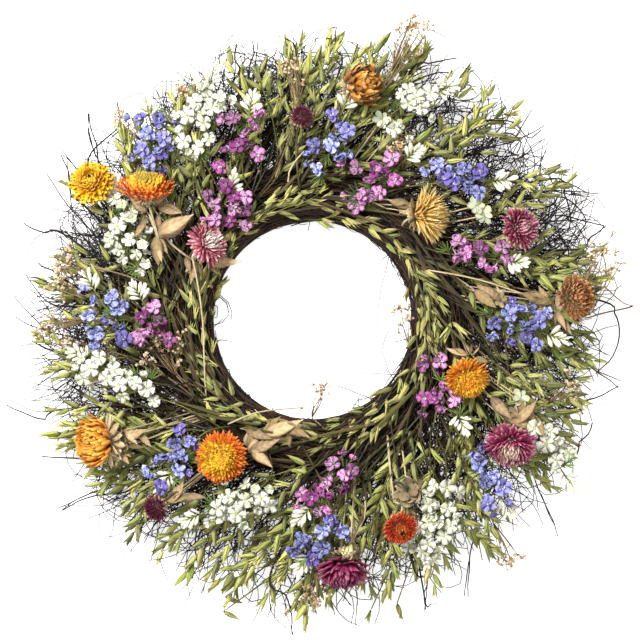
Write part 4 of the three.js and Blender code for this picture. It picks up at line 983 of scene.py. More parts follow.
# Pixels of open florets that the frame's spikes lack.
FLORET_PIXELS: dict[str, Pixels] = {
    "blue_east": ((538, 320), (524, 340), (508, 314)),
    "blue_northeast": ((438, 166), (455, 184), (466, 186)),
    "blue_northwest": ((161, 155), (150, 162)),
    "blue_south": ((294, 548),),
    "blue_southeast": ((478, 464), (496, 476)),
    "blue_southwest": ((189, 441), (178, 471), (162, 486), (182, 456)),
    "blue_west": ((106, 322),),
    "pink_east": ((463, 259),),
    "pink_north": ((246, 132),),
    "pink_northeast": ((357, 206), (366, 182)),
    "pink_northwest": ((212, 205), (230, 222)),
    "pink_south": ((352, 472), (328, 481), (333, 493), (302, 494), (328, 507), (345, 487)),
    "pink_southeast": ((455, 401), (441, 411), (450, 386)),
    "pink_west": ((168, 340),),
    "white_east": ((550, 432), (560, 446)),
    "white_northeast": ((421, 108), (408, 104)),
    "white_northwest": ((199, 148), (220, 98), (204, 124)),
    "white_southeast": ((452, 525), (422, 552), (436, 522)),
    "white_southwest": ((255, 489), (218, 515), (262, 498)),
    "white_southwest_outer": ((148, 389), (84, 378)),
    "white_west": ((134, 218), (144, 246), (146, 262), (112, 238)),
}


# The wreath's plan.


@dataclass(frozen=True)
class Plan:
    """Where things lie: the ring's middle, the crown's height and the leafy body's edge.

    Attributes:
        middle: the ring's middle, from the frame.
        inner: where the crown starts to rise, from the middle.
        outer: where it has come down again.
        rim: the crown's height there.
        rise: how much higher it is between.
        ring: the ring's mean radius.
        section: half the bundle's width, half its height and its middle's height.
        reach: how far the oats reach, each 30 degrees anticlockwise from +X.
        lush: how many of the oats there are, in the same directions.
    """

    middle: tuple[float, float]
    inner: float = 84 * MM
    outer: float = 305 * MM
    rim: float = 38 * MM
    rise: float = 54 * MM
    ring: float = 121.4 * MM
    section: tuple[float, float, float] = (26 * MM, 20.5 * MM, 18.5 * MM)
    reach: tuple[float, ...] = tuple(r * MM for r in (274, 287, 288, 268, 260, 263, 267, 268, 272, 284, 284, 278))
    lush: tuple[float, ...] = (0.8, 1.0, 1.0, 1.0, 0.85, 0.7, 0.6, 0.75, 0.75, 0.7, 0.8, 0.9)

    def radius(self, p: Array) -> float:
        """Distance from the ring's middle, seen from above."""
        return math.hypot(p[0] - self.middle[0], p[1] - self.middle[1])

    def angle(self, p: Array) -> float:
        """Direction from the ring's middle, in degrees."""
        return math.degrees(math.atan2(p[1] - self.middle[1], p[0] - self.middle[0]))

    def around(self, radius: float, degrees: float, z: float = 0.0) -> Array:
        """The point at a distance and direction from the ring's middle."""
        turn = math.radians(degrees)
        return np.array([self.middle[0] + radius * math.cos(turn), self.middle[1] + radius * math.sin(turn), z])

    def dome(self, radius: float) -> float:
        """The crown's height at a distance from the ring's middle."""
        share = min(max((radius - self.inner) / (self.outer - self.inner), 0.0), 1.0)
        return self.rim + self.rise * math.sin(math.pi * share)

    @staticmethod
    def by_angle(values: Sequence[float], degrees: float) -> float:
        """One of twelve values, each 30 degrees anticlockwise from +X, or what lies between two."""
        return float(np.interp(degrees % 360, np.arange(13) * 30, [*values, values[0]]))

    def edge(self, degrees: float) -> float:
        """How far the leafy body reaches in a direction."""
        return self.by_angle(self.reach, degrees)

    def over(self, px: float, py: float, share: float) -> Array:
        """The point over a pixel of the photograph, at a share of the crown's height."""
        p = np.array([(px - ORIGIN_PIXEL[0]) * PIXEL, (ORIGIN_PIXEL[1] - py) * PIXEL, 0.0])
        p[2] = share * self.dome(self.radius(p))
        return p

    def ring_top(self, radius: float) -> float:
        """The height of the bundle's top at a distance from the ring's middle."""
        off = (radius - self.ring) / self.section[0]
        return self.section[2] + self.section[1] * math.sqrt(max(1 - off * off, 0.0))

    def bundle(self, section: float, degrees: float, lift: float) -> Array:
        """A point on the bundle's skin, by the angle round its section from the hole's side over the top."""
        turn = math.radians(section)
        out = self.ring - (self.section[0] + lift) * math.cos(turn)
        return self.around(out, degrees, self.section[2] + (self.section[1] + lift) * math.sin(turn))


# The frame's solids, read again.


@dataclass
class Floret:
    """A floret or head found in a node: its centre, its normal, the way one tip points, and its radius."""

    centre: Array
    normal: Array
    tip: Array
    radius: float


class Skeleton:
    """The joints, tips and axes of a plant-like node, found again in a merged copy of its triangles."""

    def __init__(self, node: Object) -> None:
        """Merges a copy of the node's mesh and notes which points are neighbours."""
        shell = bmesh.new()
        shell.from_mesh(node.data)
        bmesh.ops.remove_doubles(shell, verts=shell.verts, dist=0.02 * MM)
        shell.verts.index_update()
        self.points = np.array([v.co for v in shell.verts])
        self.links = [{e.other_vert(v).index for e in v.link_edges} for v in shell.verts]
        shell.free()
        self.root = int(np.argmin(self.points[:, 2]))

    def mean(self, members: set[int]) -> Array:
        """The middle of some points."""
        return self.points[list(members)].mean(axis=0)

    def peaks(self, count: int, near: float, far: float) -> list[int]:
        """Points with a number of neighbours that all lie between two distances."""
        found = []
        for i, links in enumerate(self.links):
            if len(links) != count:
                continue
            gaps = np.linalg.norm(self.points[list(links)] - self.points[i], axis=1)
            if gaps.min() > near and gaps.max() < far:
                found.append(i)
        return found

    def head(self, eye: int) -> Floret:
        """The flat head round a middle point whose neighbours are tips and notches in turn."""
        rim = self.points[sorted(self.links[eye])]
        out = rim - rim.mean(axis=0)
        normal = np.linalg.svd(out)[2][2]
        if normal @ UP < 0:
            normal = -normal
        longest = out[np.argmax(np.linalg.norm(out, axis=1))]
        tip = unit(longest - normal * (longest @ normal))
        return Floret(self.points[eye], normal, tip, float(np.linalg.norm(out, axis=1).max()))

    def back(self, tip: int, steps: int) -> tuple[list[Array], set[int]]:
        """Walks from a tip towards its root, past a number of rings of points at most.

        Returns:
            The middle of each ring from the tip on, and the points passed.
        """
        passed = {tip}
        ring = {tip}
        path = [self.points[tip]]
        width = len(self.links[tip])
        for _ in range(steps):
            ring = set().union(*(self.links[i] for i in ring)) - passed
            if len(ring) != width:
                if ring:
                    path.append(self.mean(ring))
                break
            passed |= ring
            path.append(self.mean(ring))
        return path, passed

    def trail(self, tip: int) -> list[Array]:
        """The way from the root to a tip, kept near the middle of the stem."""
        came = {self.root: self.root}
        front = [self.root]
        while tip not in came and front:
            following = []
            for i in front:
                for j in self.links[i] - came.keys():
                    came[j] = i
                    following.append(j)
            front = following
        way = [tip]
        while way[-1] != self.root:
            way.append(came[way[-1]])
        return [self.mean(self.links[i] | {i}) if i != tip else self.points[i] for i in reversed(way)]

    def axis(self, start: set[int], barred: set[int]) -> list[Array]:
        """The middles of the rings of points from the root's on, without barred points, which aren't the axis's."""
        passed = start | barred
        ring = start
        path = [self.mean(start)]
        while True:
            ring = set().union(*(self.links[i] for i in ring)) - passed
            if not ring:
                return path
            passed |= ring
            path.append(self.mean(ring))

    def near(self, place: Array, reach: float) -> set[int]:
        """The points within a distance of a place."""
        return set(np.flatnonzero(np.linalg.norm(self.points - place, axis=1) < reach).tolist())

    def groups(self, barred: set[int]) -> list[set[int]]:
        """The separate groups of neighbours that are left without the barred points."""
        left = set(range(len(self.points))) - barred
        found = []
        while left:
            group = {left.pop()}
            front = set(group)
            while front:
                front = set().union(*(self.links[i] for i in front)) & left
                left -= front
                group |= front
            found.append(group)
        return found


# Beds on which the trees grow.


@dataclass
class Paths:
    """Paths of points, as the bed for stalks and sprouts."""

    rng: np.random.Generator
    rows: list[tuple[Array, float, float, float]] = field(default_factory=list)

    def add(self, line: Sequence[Array], first: float, last: float, tone: float | None = None) -> None:
        """Adds a path with its radius at the root and at the tip, and a tone from 0 to 1 or one drawn at random."""
        shade = self.rng.uniform() if tone is None else tone
        if len(line) > 1:
            self.rows.append((np.array(line), first, last, shade))

    def bed(self) -> Object:
        """The paths as an object of edges, with thickness, tone and place along each."""
        points, edges, along, thick, tone = [], [], [], [], []
        for line, first, last, shade in self.rows:
            share = np.linspace(0, 1, len(line))
            edges += [(len(points) + k, len(points) + k + 1) for k in range(len(line) - 1)]
            points += line.tolist()
            along += share.tolist()
            thick += (first + (last - first) * share).tolist()
            tone += [shade] * len(line)
        return bed_of(points, edges, {"along": along, "thickness": thick, "tone": tone})


@dataclass
class Spots:
    """Points with a heading and a facing, as the bed for planting."""

    rng: np.random.Generator
    rows: list[tuple] = field(default_factory=list)

    def add(self, place: Array, heading: Array, facing: Array, size: float,
            kinds: Sequence[int] = (0, 1, 2)) -> None:
        """Adds a point with a tone drawn at random, and a variant drawn from some kinds or the only one."""
        tone = self.rng.uniform()
        variant = kinds[self.rng.integers(len(kinds))] if len(kinds) > 1 else kinds[0]
        self.rows.append((place, heading, facing, size, tone, variant))

    def bed(self) -> Object:
        """The points as an object."""
        places, headings, facings, sizes, tones, variants = zip(*self.rows)
        return bed_of([p.tolist() for p in places], [], {
            "heading": np.array(headings), "facing": np.array(facings), "size": sizes, "tone": tones,
            "variant": np.array(variants, dtype=np.int32)})


def bed_of(points: list, edges: list, attributes: dict[str, Any]) -> Object:
    """An object of loose points or edges with point attributes of numbers, whole numbers or vectors."""
    mesh = bpy.data.meshes.new("bed")
    mesh.from_pydata(points, edges, [])
    for name, values in attributes.items():
        data = np.asarray(values)
        kind = "FLOAT_VECTOR" if data.ndim == 2 else "INT" if data.dtype == np.int32 else "FLOAT"
        layer = mesh.attributes.new(name, kind, "POINT")
        layer.data.foreach_set("vector" if data.ndim == 2 else "value", data.ravel() if kind == "INT" else
                               data.astype(np.float32).ravel())
    return shown("bed", mesh)


class Workshop:
    """Grows pieces from beds and hands them to the frame."""

    def __init__(self, frame: dict[str, Any], plan: Plan) -> None:
        """Builds the trees and the shapes."""
        self.frame, self.plan = frame, plan
        self.shapes, self.cabinet = Shapes(), Cabinet()
        self.planting, self.stalks = planting_tree(), stalk_tree()
        self.sprouts, self.blooms = sprout_tree(), bloom_tree()

    def hand_over(self, name: str, mesh: Mesh, slot: str, nodes: Sequence[str] = ()) -> None:
        """Makes a piece of a mesh, which rides on the wreath's one body.

        Args:
            name: the piece's name.
            mesh: its mesh, in place.
            slot: the record's material slot that it stands for; not used.
            nodes: the nodes that it stands for.
        """
        piece = shown(name, mesh)
        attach(piece, "root")
        if nodes:
            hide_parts(*nodes)
        log.info("%s: %d faces", name, len(mesh.polygons))

    def grown(self, tree: Tree, bed: Object, finish: PetalFinish | BarkFinish, kit: str = "",
              **inputs: Any) -> Mesh:
        """What a tree grows on a bed, with a finish, a kit of shapes and further inputs."""
        shapes = self.shapes.inputs(kit) if kit else {}
        return tree.grow(bed, {**shapes, **inputs, "material": self.cabinet.material(finish)})

    def draw(self, name: str, paths: Paths, finish: BarkFinish, slot: str, nodes: Sequence[str] = (),
             **inputs: Any) -> None:
        """Draws stalks along paths as one piece."""
        self.hand_over(name, self.grown(self.stalks, paths.bed(), finish, **inputs), slot, nodes)

    def plant(self, name: str, spots: Spots, kit: str, finish: PetalFinish, slot: str, nodes: Sequence[str] = (),
              **inputs: Any) -> None:
        """Plants a shape on each spot as one piece."""
        if spots.rows:
            self.hand_over(name, self.grown(self.planting, spots.bed(), finish, kit, **inputs), slot, nodes)

    def sprout(self, name: str, paths: Paths, kit: str, finish: PetalFinish, slot: str, **inputs: Any) -> None:
        """Sets a shape left and right along each path as one piece."""
        self.hand_over(name, self.grown(self.sprouts, paths.bed(), finish, kit, **inputs), slot)

    def bloom(self, head: Floret, finish: PetalFinish, kit: str, **inputs: Any) -> Mesh:
        """A whorl of bracts, turned and moved to a head's place."""
        mesh = self.grown(self.blooms, bed_of([(0, 0, 0)], [], {}), finish, kit, radius=head.radius, **inputs)
        side = unit(np.cross(head.tip, head.normal))
        axes = np.stack([side, np.cross(head.normal, side), head.normal], axis=1)
        turn = Matrix([(*row, 0) for row in axes] + [(0, 0, 0, 1)])
        mesh.transform(Matrix.Translation(Vector(head.centre)) @ turn)
        return mesh

    def skeleton(self, node: str) -> Skeleton:
        """The skeleton of a node."""
        return Skeleton(self.frame["nodes"][node])

    def named(self, prefix: str) -> list[str]:
        """The frame's nodes whose names start so, in order."""
        return sorted(name for name in self.frame["nodes"] if name.startswith(prefix))


# Sub-assemblies.


@dataclass
class Section:
    """A sub-assembly, with random draws of its own.

    Attributes:
        shop: the workshop that makes its pieces.
        seed: fixes the draws.
    """

    shop: Workshop
    seed: int = 0

    def __post_init__(self) -> None:
        """Starts the draws."""
        self.plan, self.rng = self.shop.plan, np.random.default_rng(self.seed)


@dataclass
class RingBundle(Section):
    """The ring of bundled stems, with loose strands over it, a thicket of stems out of it and the wire that ties it.

    Attributes:
        strands: how many loose strands run round the bundle.
        thicket: how many brown stems leave it, clockwise and outwards; their near-black colour is painted shade.
        fuzz: how many short curls stand out of its inner side.
        width: a strand's radius at its root.
        curls: pixels along thin curls that stand out into the hole.
    """

    strands: int = 500
    thicket: int = 700
    fuzz: int = 1100
    width: float = 0.8 * MM
    seed: int = 11
    curls: tuple[Pixels, ...] = (
        ((200, 290), (216, 294), (229, 306), (226, 320), (210, 326)), ((202, 300), (214, 303), (219, 314), (206, 322)),
        ((212, 372), (224, 366), (232, 378), (224, 392)), ((408, 262), (398, 268), (400, 282), (412, 288)),
        ((352, 414), (356, 402), (370, 398), (378, 404)), ((420, 330), (408, 336), (410, 350), (424, 352)))

    def build(self) -> None:
        """Lays strands round the bundle, and grows the thicket out of it."""
        rng, plan, paths = self.rng, self.plan, Paths(self.rng)
        for _ in range(self.strands):
            start, section = rng.uniform(0, 360), rng.uniform(-42, 150)
            sweep, drift = rng.uniform(35, 95), rng.uniform(-30, 40)
            lift = (0.4 + rng.uniform(0, 4) * max(math.sin(math.radians(section)), 0.1)) * MM
            turns = [max(section + drift * t + rng.normal(0, 3), -48.0) for t in np.linspace(0, 1, 7)]
            line = [plan.bundle(turn, start - sweep * k / 6, lift) for k, turn in enumerate(turns)]
            paths.add(line, self.width * rng.uniform(0.7, 1.3), 0.4 * MM)
        for curl in self.curls:
            line = [plan.over(px, py, 0.0) + (24 + 3 * k) * MM * UP for k, (px, py) in enumerate(curl)]
            start = plan.around(106 * MM, plan.angle(line[0]) + 9, 26 * MM)
            paths.add([start, *line], 0.7 * MM, 0.4 * MM, 0.2)
        # The strands are drawn near black: painted shade over the bundle.
        self.shop.draw("bundle_strands", paths, STRAND_IN_PAINTED_SHADE, "dark_stems", sides=3, step=11 * MM, kink=5 * MM, kink_scale=30)
        wool = Paths(rng)
        for _ in range(self.fuzz):
            angle, inner = rng.uniform(0, 360), rng.uniform(98, 124) * MM
            root = plan.around(inner, angle, plan.ring_top(inner) - 1 * MM)
            end = plan.around(inner - rng.uniform(0, 8) * MM, angle - rng.uniform(3, 14), root[2] - 6 * MM)
            wool.add([root, (root + end) / 2 + rng.normal(0, 2, 3) * MM + 4 * MM * UP, end], 0.5 * MM, 0.35 * MM)
        self.shop.draw("inner_fuzz", wool, TWIG, "dark_stems", sides=3, step=4 * MM, kink=12 * MM, kink_scale=60)
        bush = Paths(rng)
        for _ in range(self.thicket):
            angle = rng.uniform(0, 360)
            low, high = rng.uniform(8, 30) * MM, rng.uniform(6, 46) * MM
            start = plan.around(rng.uniform(104, 142) * MM, angle)
            heading, reach, bend = angle - rng.uniform(25, 96), rng.uniform(60, 150) * MM, rng.uniform(0, 34)
            line = []
            for t in np.linspace(0, 1, 5):
                place = start + reach * t * toward(math.radians(heading - bend * t)) + UP * (low + (high - low) * t)
                if plan.radius(place) < plan.edge(plan.angle(place)) - 16 * MM:
                    line.append(place)
            bush.add(line, rng.uniform(0.55, 1.0) * MM, 0.4 * MM)
        # The thicket is drawn near black: painted shade under the foliage.
        self.shop.draw("thicket", bush, THICKET_IN_PAINTED_SHADE, "dark_stems", sides=3, step=13 * MM, kink=4 * MM, kink_scale=24)

    def dress(self) -> None:
        """Gives the ring and the wires their finishes."""
        # The ring's bark is near black: painted shade.
        for name, finish in {"stem_ring": BUNDLE_IN_PAINTED_SHADE, "wire_ring": WIRE, "binding_wire": WIRE}.items():
            slots = self.shop.frame["nodes"][name].data.materials
            slots.clear()
            slots.append(self.shop.cabinet.material(finish))
            log.info("%s: dressed", name)


@dataclass
class TwigBrushes(Section):
    """Brushes of fine dark twigs: those of the frame, and many finer ones between and beyond them.

    Attributes:
        extra: how many further twigs each brush has.
        forks: side twigs for each of them.
        width: a twig's radius at its root.
        tips: pixels that long twigs reach.
        traced: pixels along the most striking twigs, from the root on.
        branch: pixels along the forked brown branch in the east.
        tangle: the share of twigs each 30 degrees anticlockwise from +X.
    """

    extra: int = 180
    forks: int = 4
    width: float = 0.72 * MM
    seed: int = 23
    traced: tuple[Pixels, ...] = (
        ((96, 196), (86, 166), (90, 150), (103, 138), (116, 127), (118, 113), (114, 99)),
        ((104, 190), (96, 158), (93, 140), (86, 112)), ((84, 206), (70, 194), (67, 172), (60, 153)),
        ((408, 72), (430, 62), (448, 57), (459, 55)), ((404, 90), (420, 78), (435, 73), (448, 71)),
        ((410, 100), (425, 84), (440, 82), (450, 82)), ((240, 76), (233, 60), (235, 40)),
        ((248, 74), (254, 54), (253, 40)), ((470, 132), (478, 121), (496, 119), (514, 121), (530, 136), (543, 128)),
        ((480, 150), (494, 138), (508, 131), (522, 140), (518, 152)), ((540, 196), (552, 184), (568, 181), (590, 192)),
        ((542, 208), (560, 196), (578, 204), (588, 220), (578, 233)), ((546, 222), (562, 214), (580, 218), (606, 225)),
        ((552, 178), (566, 194), (572, 212), (568, 232)),
        ((292, 80), (297, 60), (293, 42), (283, 36)), ((340, 70), (336, 48), (336, 26)),
        ((60, 410), (43, 420), (20, 414), (3, 406)), ((66, 236), (43, 232), (30, 228), (22, 223)),
        ((62, 290), (48, 283), (36, 278), (25, 275)), ((64, 280), (50, 270), (40, 266), (35, 261)),
        ((110, 466), (84, 461), (60, 459), (40, 456)), ((130, 490), (108, 494), (86, 498), (60, 512)),
        ((160, 500), (143, 507), (132, 518), (121, 528)), ((162, 512), (148, 520), (140, 528), (135, 538)),
        ((575, 250), (590, 238), (600, 232), (608, 225)), ((560, 405), (590, 400), (605, 396), (621, 388)),
        ((600, 300), (617, 313), (622, 334), (613, 360), (597, 374)), ((567, 450), (582, 442), (591, 434), (595, 422)),
        ((413, 565), (428, 580), (425, 597), (427, 613)), ((425, 597), (430, 606), (438, 606)),
        ((270, 575), (285, 597), (292, 620), (293, 638)))
    branch: tuple[Pixels, ...] = (
        ((560, 306), (576, 296), (592, 288), (606, 287), (618, 297), (628, 304), (639, 306)),
        ((592, 288), (606, 287), (608, 268), (604, 252)), ((560, 306), (576, 296), (590, 280), (600, 262)))
    tangle: tuple[float, ...] = (0.85, 0.85, 0.8, 0.75, 0.75, 0.7, 0.75, 0.75, 0.5, 0.5, 0.55, 0.7)
    tips: Pixels = (
        (86, 111), (60, 153), (44, 172), (24, 275), (59, 512), (121, 529), (427, 614), (546, 124), (602, 194),
        (621, 389), (14, 318), (258, 38), (505, 118), (560, 540), (470, 602), (200, 596), (30, 340))

    def build(self) -> None:
        """Grows each brush round its rib."""
        for name in self.shop.named("twigs_"):
            bones, paths, roots = self.shop.skeleton(name), Paths(self.rng), []
            for tip in bones.peaks(3, 8 * MM, 90 * MM):
                path = bones.back(tip, 6)[0][::-1]
                roots.append(path[0])
                paths.add(path, 0.8 * MM, 0.45 * MM)
            angles = np.degrees(np.unwrap(np.radians([self.plan.angle(r) for r in roots])))
            self.fill(paths, angles.min() - 8, angles.max() + 8)
            self.shop.draw(name + "_brush", paths, TWIG, "dark_twigs", [name], sides=3, step=10 * MM, kink=15 * MM,
                           kink_scale=34)
        self.long_ones()

    def fill(self, paths: Paths, low: float, high: float) -> None:
        """Adds twigs that fan out of a stretch of the ring, and their forks."""
        rng, plan = self.rng, self.plan
        for _ in range(self.extra):
            angle = rng.uniform(low, high)
            root = plan.around(rng.uniform(118, 146) * MM, angle, rng.uniform(6, 32) * MM)
            heading = math.radians(angle - 28 + rng.uniform(-42, 42))
            most = plan.edge(angle) + rng.uniform(-30, 16) * MM
            line = self.wander(root, heading, rng.uniform(80, 190) * MM, rng.uniform(5, 34) * MM, 0.12, most)
            if len(line) < 3 or rng.uniform() > plan.by_angle(self.tangle, plan.angle(line[-1])):
                continue
            paths.add(line, self.width * rng.uniform(0.8, 1.2), 0.5 * MM)
            for _ in range(self.forks):
                k = int(rng.integers(len(line) // 2, len(line)))
                ahead = line[k] - line[k - 1]
                turn = math.atan2(ahead[1], ahead[0]) + rng.choice([-1, 1]) * rng.uniform(0.4, 1.1)
                paths.add(self.wander(line[k - 1], turn, rng.uniform(30, 80) * MM, rng.uniform(5, 36) * MM, 0.36,
                                      most + 10 * MM), self.width * 0.8, 0.42 * MM)

    def wander(self, root: Array, heading: float, reach: float, height: float, twist: float,
               most: float) -> list[Array]:
        """A path that curls away from its heading and comes to a height, cut off at a distance from the middle."""
        line = [root]
        turn, curl = heading, self.rng.normal(0, twist)
        for k in range(1, 8):
            turn += curl + self.rng.normal(0, 0.14)
            place = line[-1] + toward(turn) * (reach / 7)
            place[2] = root[2] + (height - root[2]) * k / 7
            line.append(place)
        return [p for p in line if self.plan.radius(p) < most]

    def long_ones(self) -> None:
        """Adds the long twigs whose tips stand out of the wreath."""
        rng, plan, paths, brown = self.rng, self.plan, Paths(self.rng), Paths(self.rng)
        for px, py in self.tips:
            tip = plan.over(px, py, rng.uniform(0.3, 0.7))
            root = plan.around(140 * MM, plan.angle(tip) + 24, 20 * MM)
            middle = root * 0.5 + tip * 0.5 + np.array([*rng.normal(0, 9, 2), 6]) * MM
            near = root * 0.2 + tip * 0.8 + np.array([*rng.normal(0, 6, 2), 2]) * MM
            paths.add([root, middle, near, tip], 0.85 * MM, 0.5 * MM, rng.uniform(0.2, 1))
            fork = near + (tip - near) * 0.8 + np.array([*rng.normal(0, 11, 2), 0]) * MM
            paths.add([near, near * 0.4 + fork * 0.6, fork], 0.6 * MM, 0.45 * MM, rng.uniform(0.2, 1))
        for trace in self.traced:
            line = [plan.over(px, py, 0.5) for px, py in trace]
            root = plan.around(144 * MM, plan.angle(line[0]) + 14, 26 * MM)
            paths.add([root, *line], 1.0 * MM, 0.6 * MM, 0.3)
        self.shop.draw("long_twigs", paths, TWIG, "dark_twigs", sides=4, step=6 * MM, kink=7 * MM, kink_scale=32)
        for trace in self.branch:
            brown.add([plan.over(px, py, 0.62) for px, py in trace], 1.0 * MM, 0.55 * MM, 0.6)
        self.shop.draw("brown_branch", brown, STEM_RUSSET, "dark_twigs", sides=5, step=6 * MM)


@dataclass
class OatBunches(Section):
    """Bunches of oats: the frame's stems and spikelets, and many more between them.

    Attributes:
        stems: how many further stems each bunch has.
        rim_stems: how many stems lie along the hole's rim in all.
        spikelet: a spikelet's length.
        spacing: the distance between spikelets on a further stem.
        width: a further stem's radius at its root.
        loose: pixel pairs of single spikelets that hang out of the rim, base and tip.
    """

    stems: int = 23
    rim_stems: int = 50
    spikelet: float = 22 * MM
    spacing: float = 9.2 * MM
    width: float = 0.52 * MM
    seed: int = 37
    loose: Pairs = (
        (219, 583, 203, 598), (224, 600, 244, 607), (222, 615, 238, 623), (398, 606, 402, 622), (372, 612, 366, 628))

    def build(self) -> None:
        """Grows each bunch."""
        for number, name in enumerate(self.shop.named("oats_")):
            stalks, spots, more = Paths(self.rng), Spots(self.rng), Paths(self.rng)
            root = self.from_frame(name, stalks, spots)
            self.shop.plant(name + "_spikelets", spots, "spikelet", OAT, "oats", [name], roll=0.9, seed=number + 1)
            for _ in range(self.stems):
                line = self.stem(root)
                if self.rng.uniform() < self.plan.by_angle(self.plan.lush, self.plan.angle(line[-1])):
                    more.add(line, self.width, 0.35 * MM)
            stalks.rows += more.rows
            self.shop.draw(name + "_stalks", stalks, STEM_GREEN, "oats", [name], step=10 * MM)
            self.shop.sprout(name + "_more_spikelets", more, "spikelet", OAT, "oats", size=self.spikelet * 0.96,
                             spacing=self.spacing, start=0.49, open=0.78, seed=number + 50)
        self.rim()
        self.loose_ones()

    def from_frame(self, name: str, stalks: Paths, spots: Spots) -> Array:
        """Finds the frame's stems and spikelets again, and returns the bunch's root."""
        bones = self.shop.skeleton(name)
        foot = bones.mean(bones.near(bones.points[bones.root], 7 * MM))
        flat = np.hypot(*(bones.points - foot)[:, :2].T)
        butt = set(np.flatnonzero((flat < 4.2 * MM) & (bones.points[:, 2] < foot[2] + 14 * MM)).tolist())
        heads = set()
        for tip in bones.peaks(3, 8 * MM, 16 * MM):
            path, passed = bones.back(tip, 1)
            heads |= passed
            out = unit(path[0] - path[1])
            size = max(float(np.linalg.norm(path[0] - path[1])) / 0.56, 15 * MM)
            spots.add(path[0] - out * size, out, UP + self.rng.normal(0, 0.4, 3), size * 1.04)
        for group in bones.groups(butt | heads):
            start = {i for i in group if bones.links[i] & butt}
            if start and len(group) > 5:
                stalks.add([foot, foot + 7 * MM * UP, *bones.axis(start, butt | heads)], 0.75 * MM, 0.5 * MM)
        return foot

    def stem(self, root: Array) -> list[Array]:
        """A stem that fans out of a bunch, clockwise and outwards."""
        rng, plan = self.rng, self.plan
        angle = plan.angle(root) + rng.uniform(-26, 26)
        start = plan.around(rng.uniform(112, 142) * MM, angle)
        start[2] = plan.ring_top(plan.radius(start))
        heading, reach = angle - rng.uniform(14, 98), rng.uniform(100, 225) * MM
        share, bend = rng.uniform(0.3, 0.74), rng.uniform(-12, 24)
        line = [start]
        for t in np.arange(1, 10) / 9:
            p = start + reach * t * toward(math.radians(heading + bend * t))
            if plan.radius(p) > plan.edge(plan.angle(p)) - self.spikelet * 0.3:
                break
            p[2] = max(start[2] * (1 - t) ** 2, plan.dome(plan.radius(p)) * share)
            line.append(p)
        return line if len(line) > 2 else [start, start + 6 * MM * UP, *line[1:]]

    def rim(self) -> None:
        """Lays oats along the rim of the hole and over the bundle, running clockwise."""
        rng, plan, paths = self.rng, self.plan, Paths(self.rng)
        for _ in range(self.rim_stems):
            angle, inner = rng.uniform(0, 360), rng.uniform(91, 112) * MM
            sweep, lift = rng.uniform(30, 56), rng.uniform(2, 9) * MM
            line = []
            for t in np.linspace(0, 1, 6):
                radius = inner + (rng.uniform(-3, 3) + 12 * t * t) * MM
                line.append(plan.around(radius, angle - sweep * t, max(plan.ring_top(radius), 22 * MM) + lift))
            paths.add(line, self.width, 0.35 * MM)
        self.shop.draw("rim_oat_stalks", paths, STEM_GREEN, "oats", step=10 * MM)
        self.shop.sprout("rim_oat_spikelets", paths, "spikelet", OAT_STRAW, "oats", size=self.spikelet * 0.8,
                         spacing=12 * MM, seed=90)

    def loose_ones(self) -> None:
        """Hangs single spikelets out of the rim."""
        plan, stalks, spots = self.plan, Paths(self.rng), Spots(self.rng)
        for x0, y0, x1, y1 in self.loose:
            base, tip = plan.over(x0, y0, 0.3), plan.over(x1, y1, 0.2)
            root = plan.around(plan.radius(base) - 60 * MM, plan.angle(base) + 12, 30 * MM)
            stalks.add([root, root * 0.4 + base * 0.6 + 4 * MM * UP, base], 0.8 * MM, 0.6 * MM, 0.6)
            spots.add(base, unit(tip - base), UP, 20 * MM)
        self.shop.draw("loose_oat_stalks", stalks, STEM_GREEN, "oats")
        self.shop.plant("loose_oat_spikelets", spots, "spikelet", OAT_STRAW, "oats")


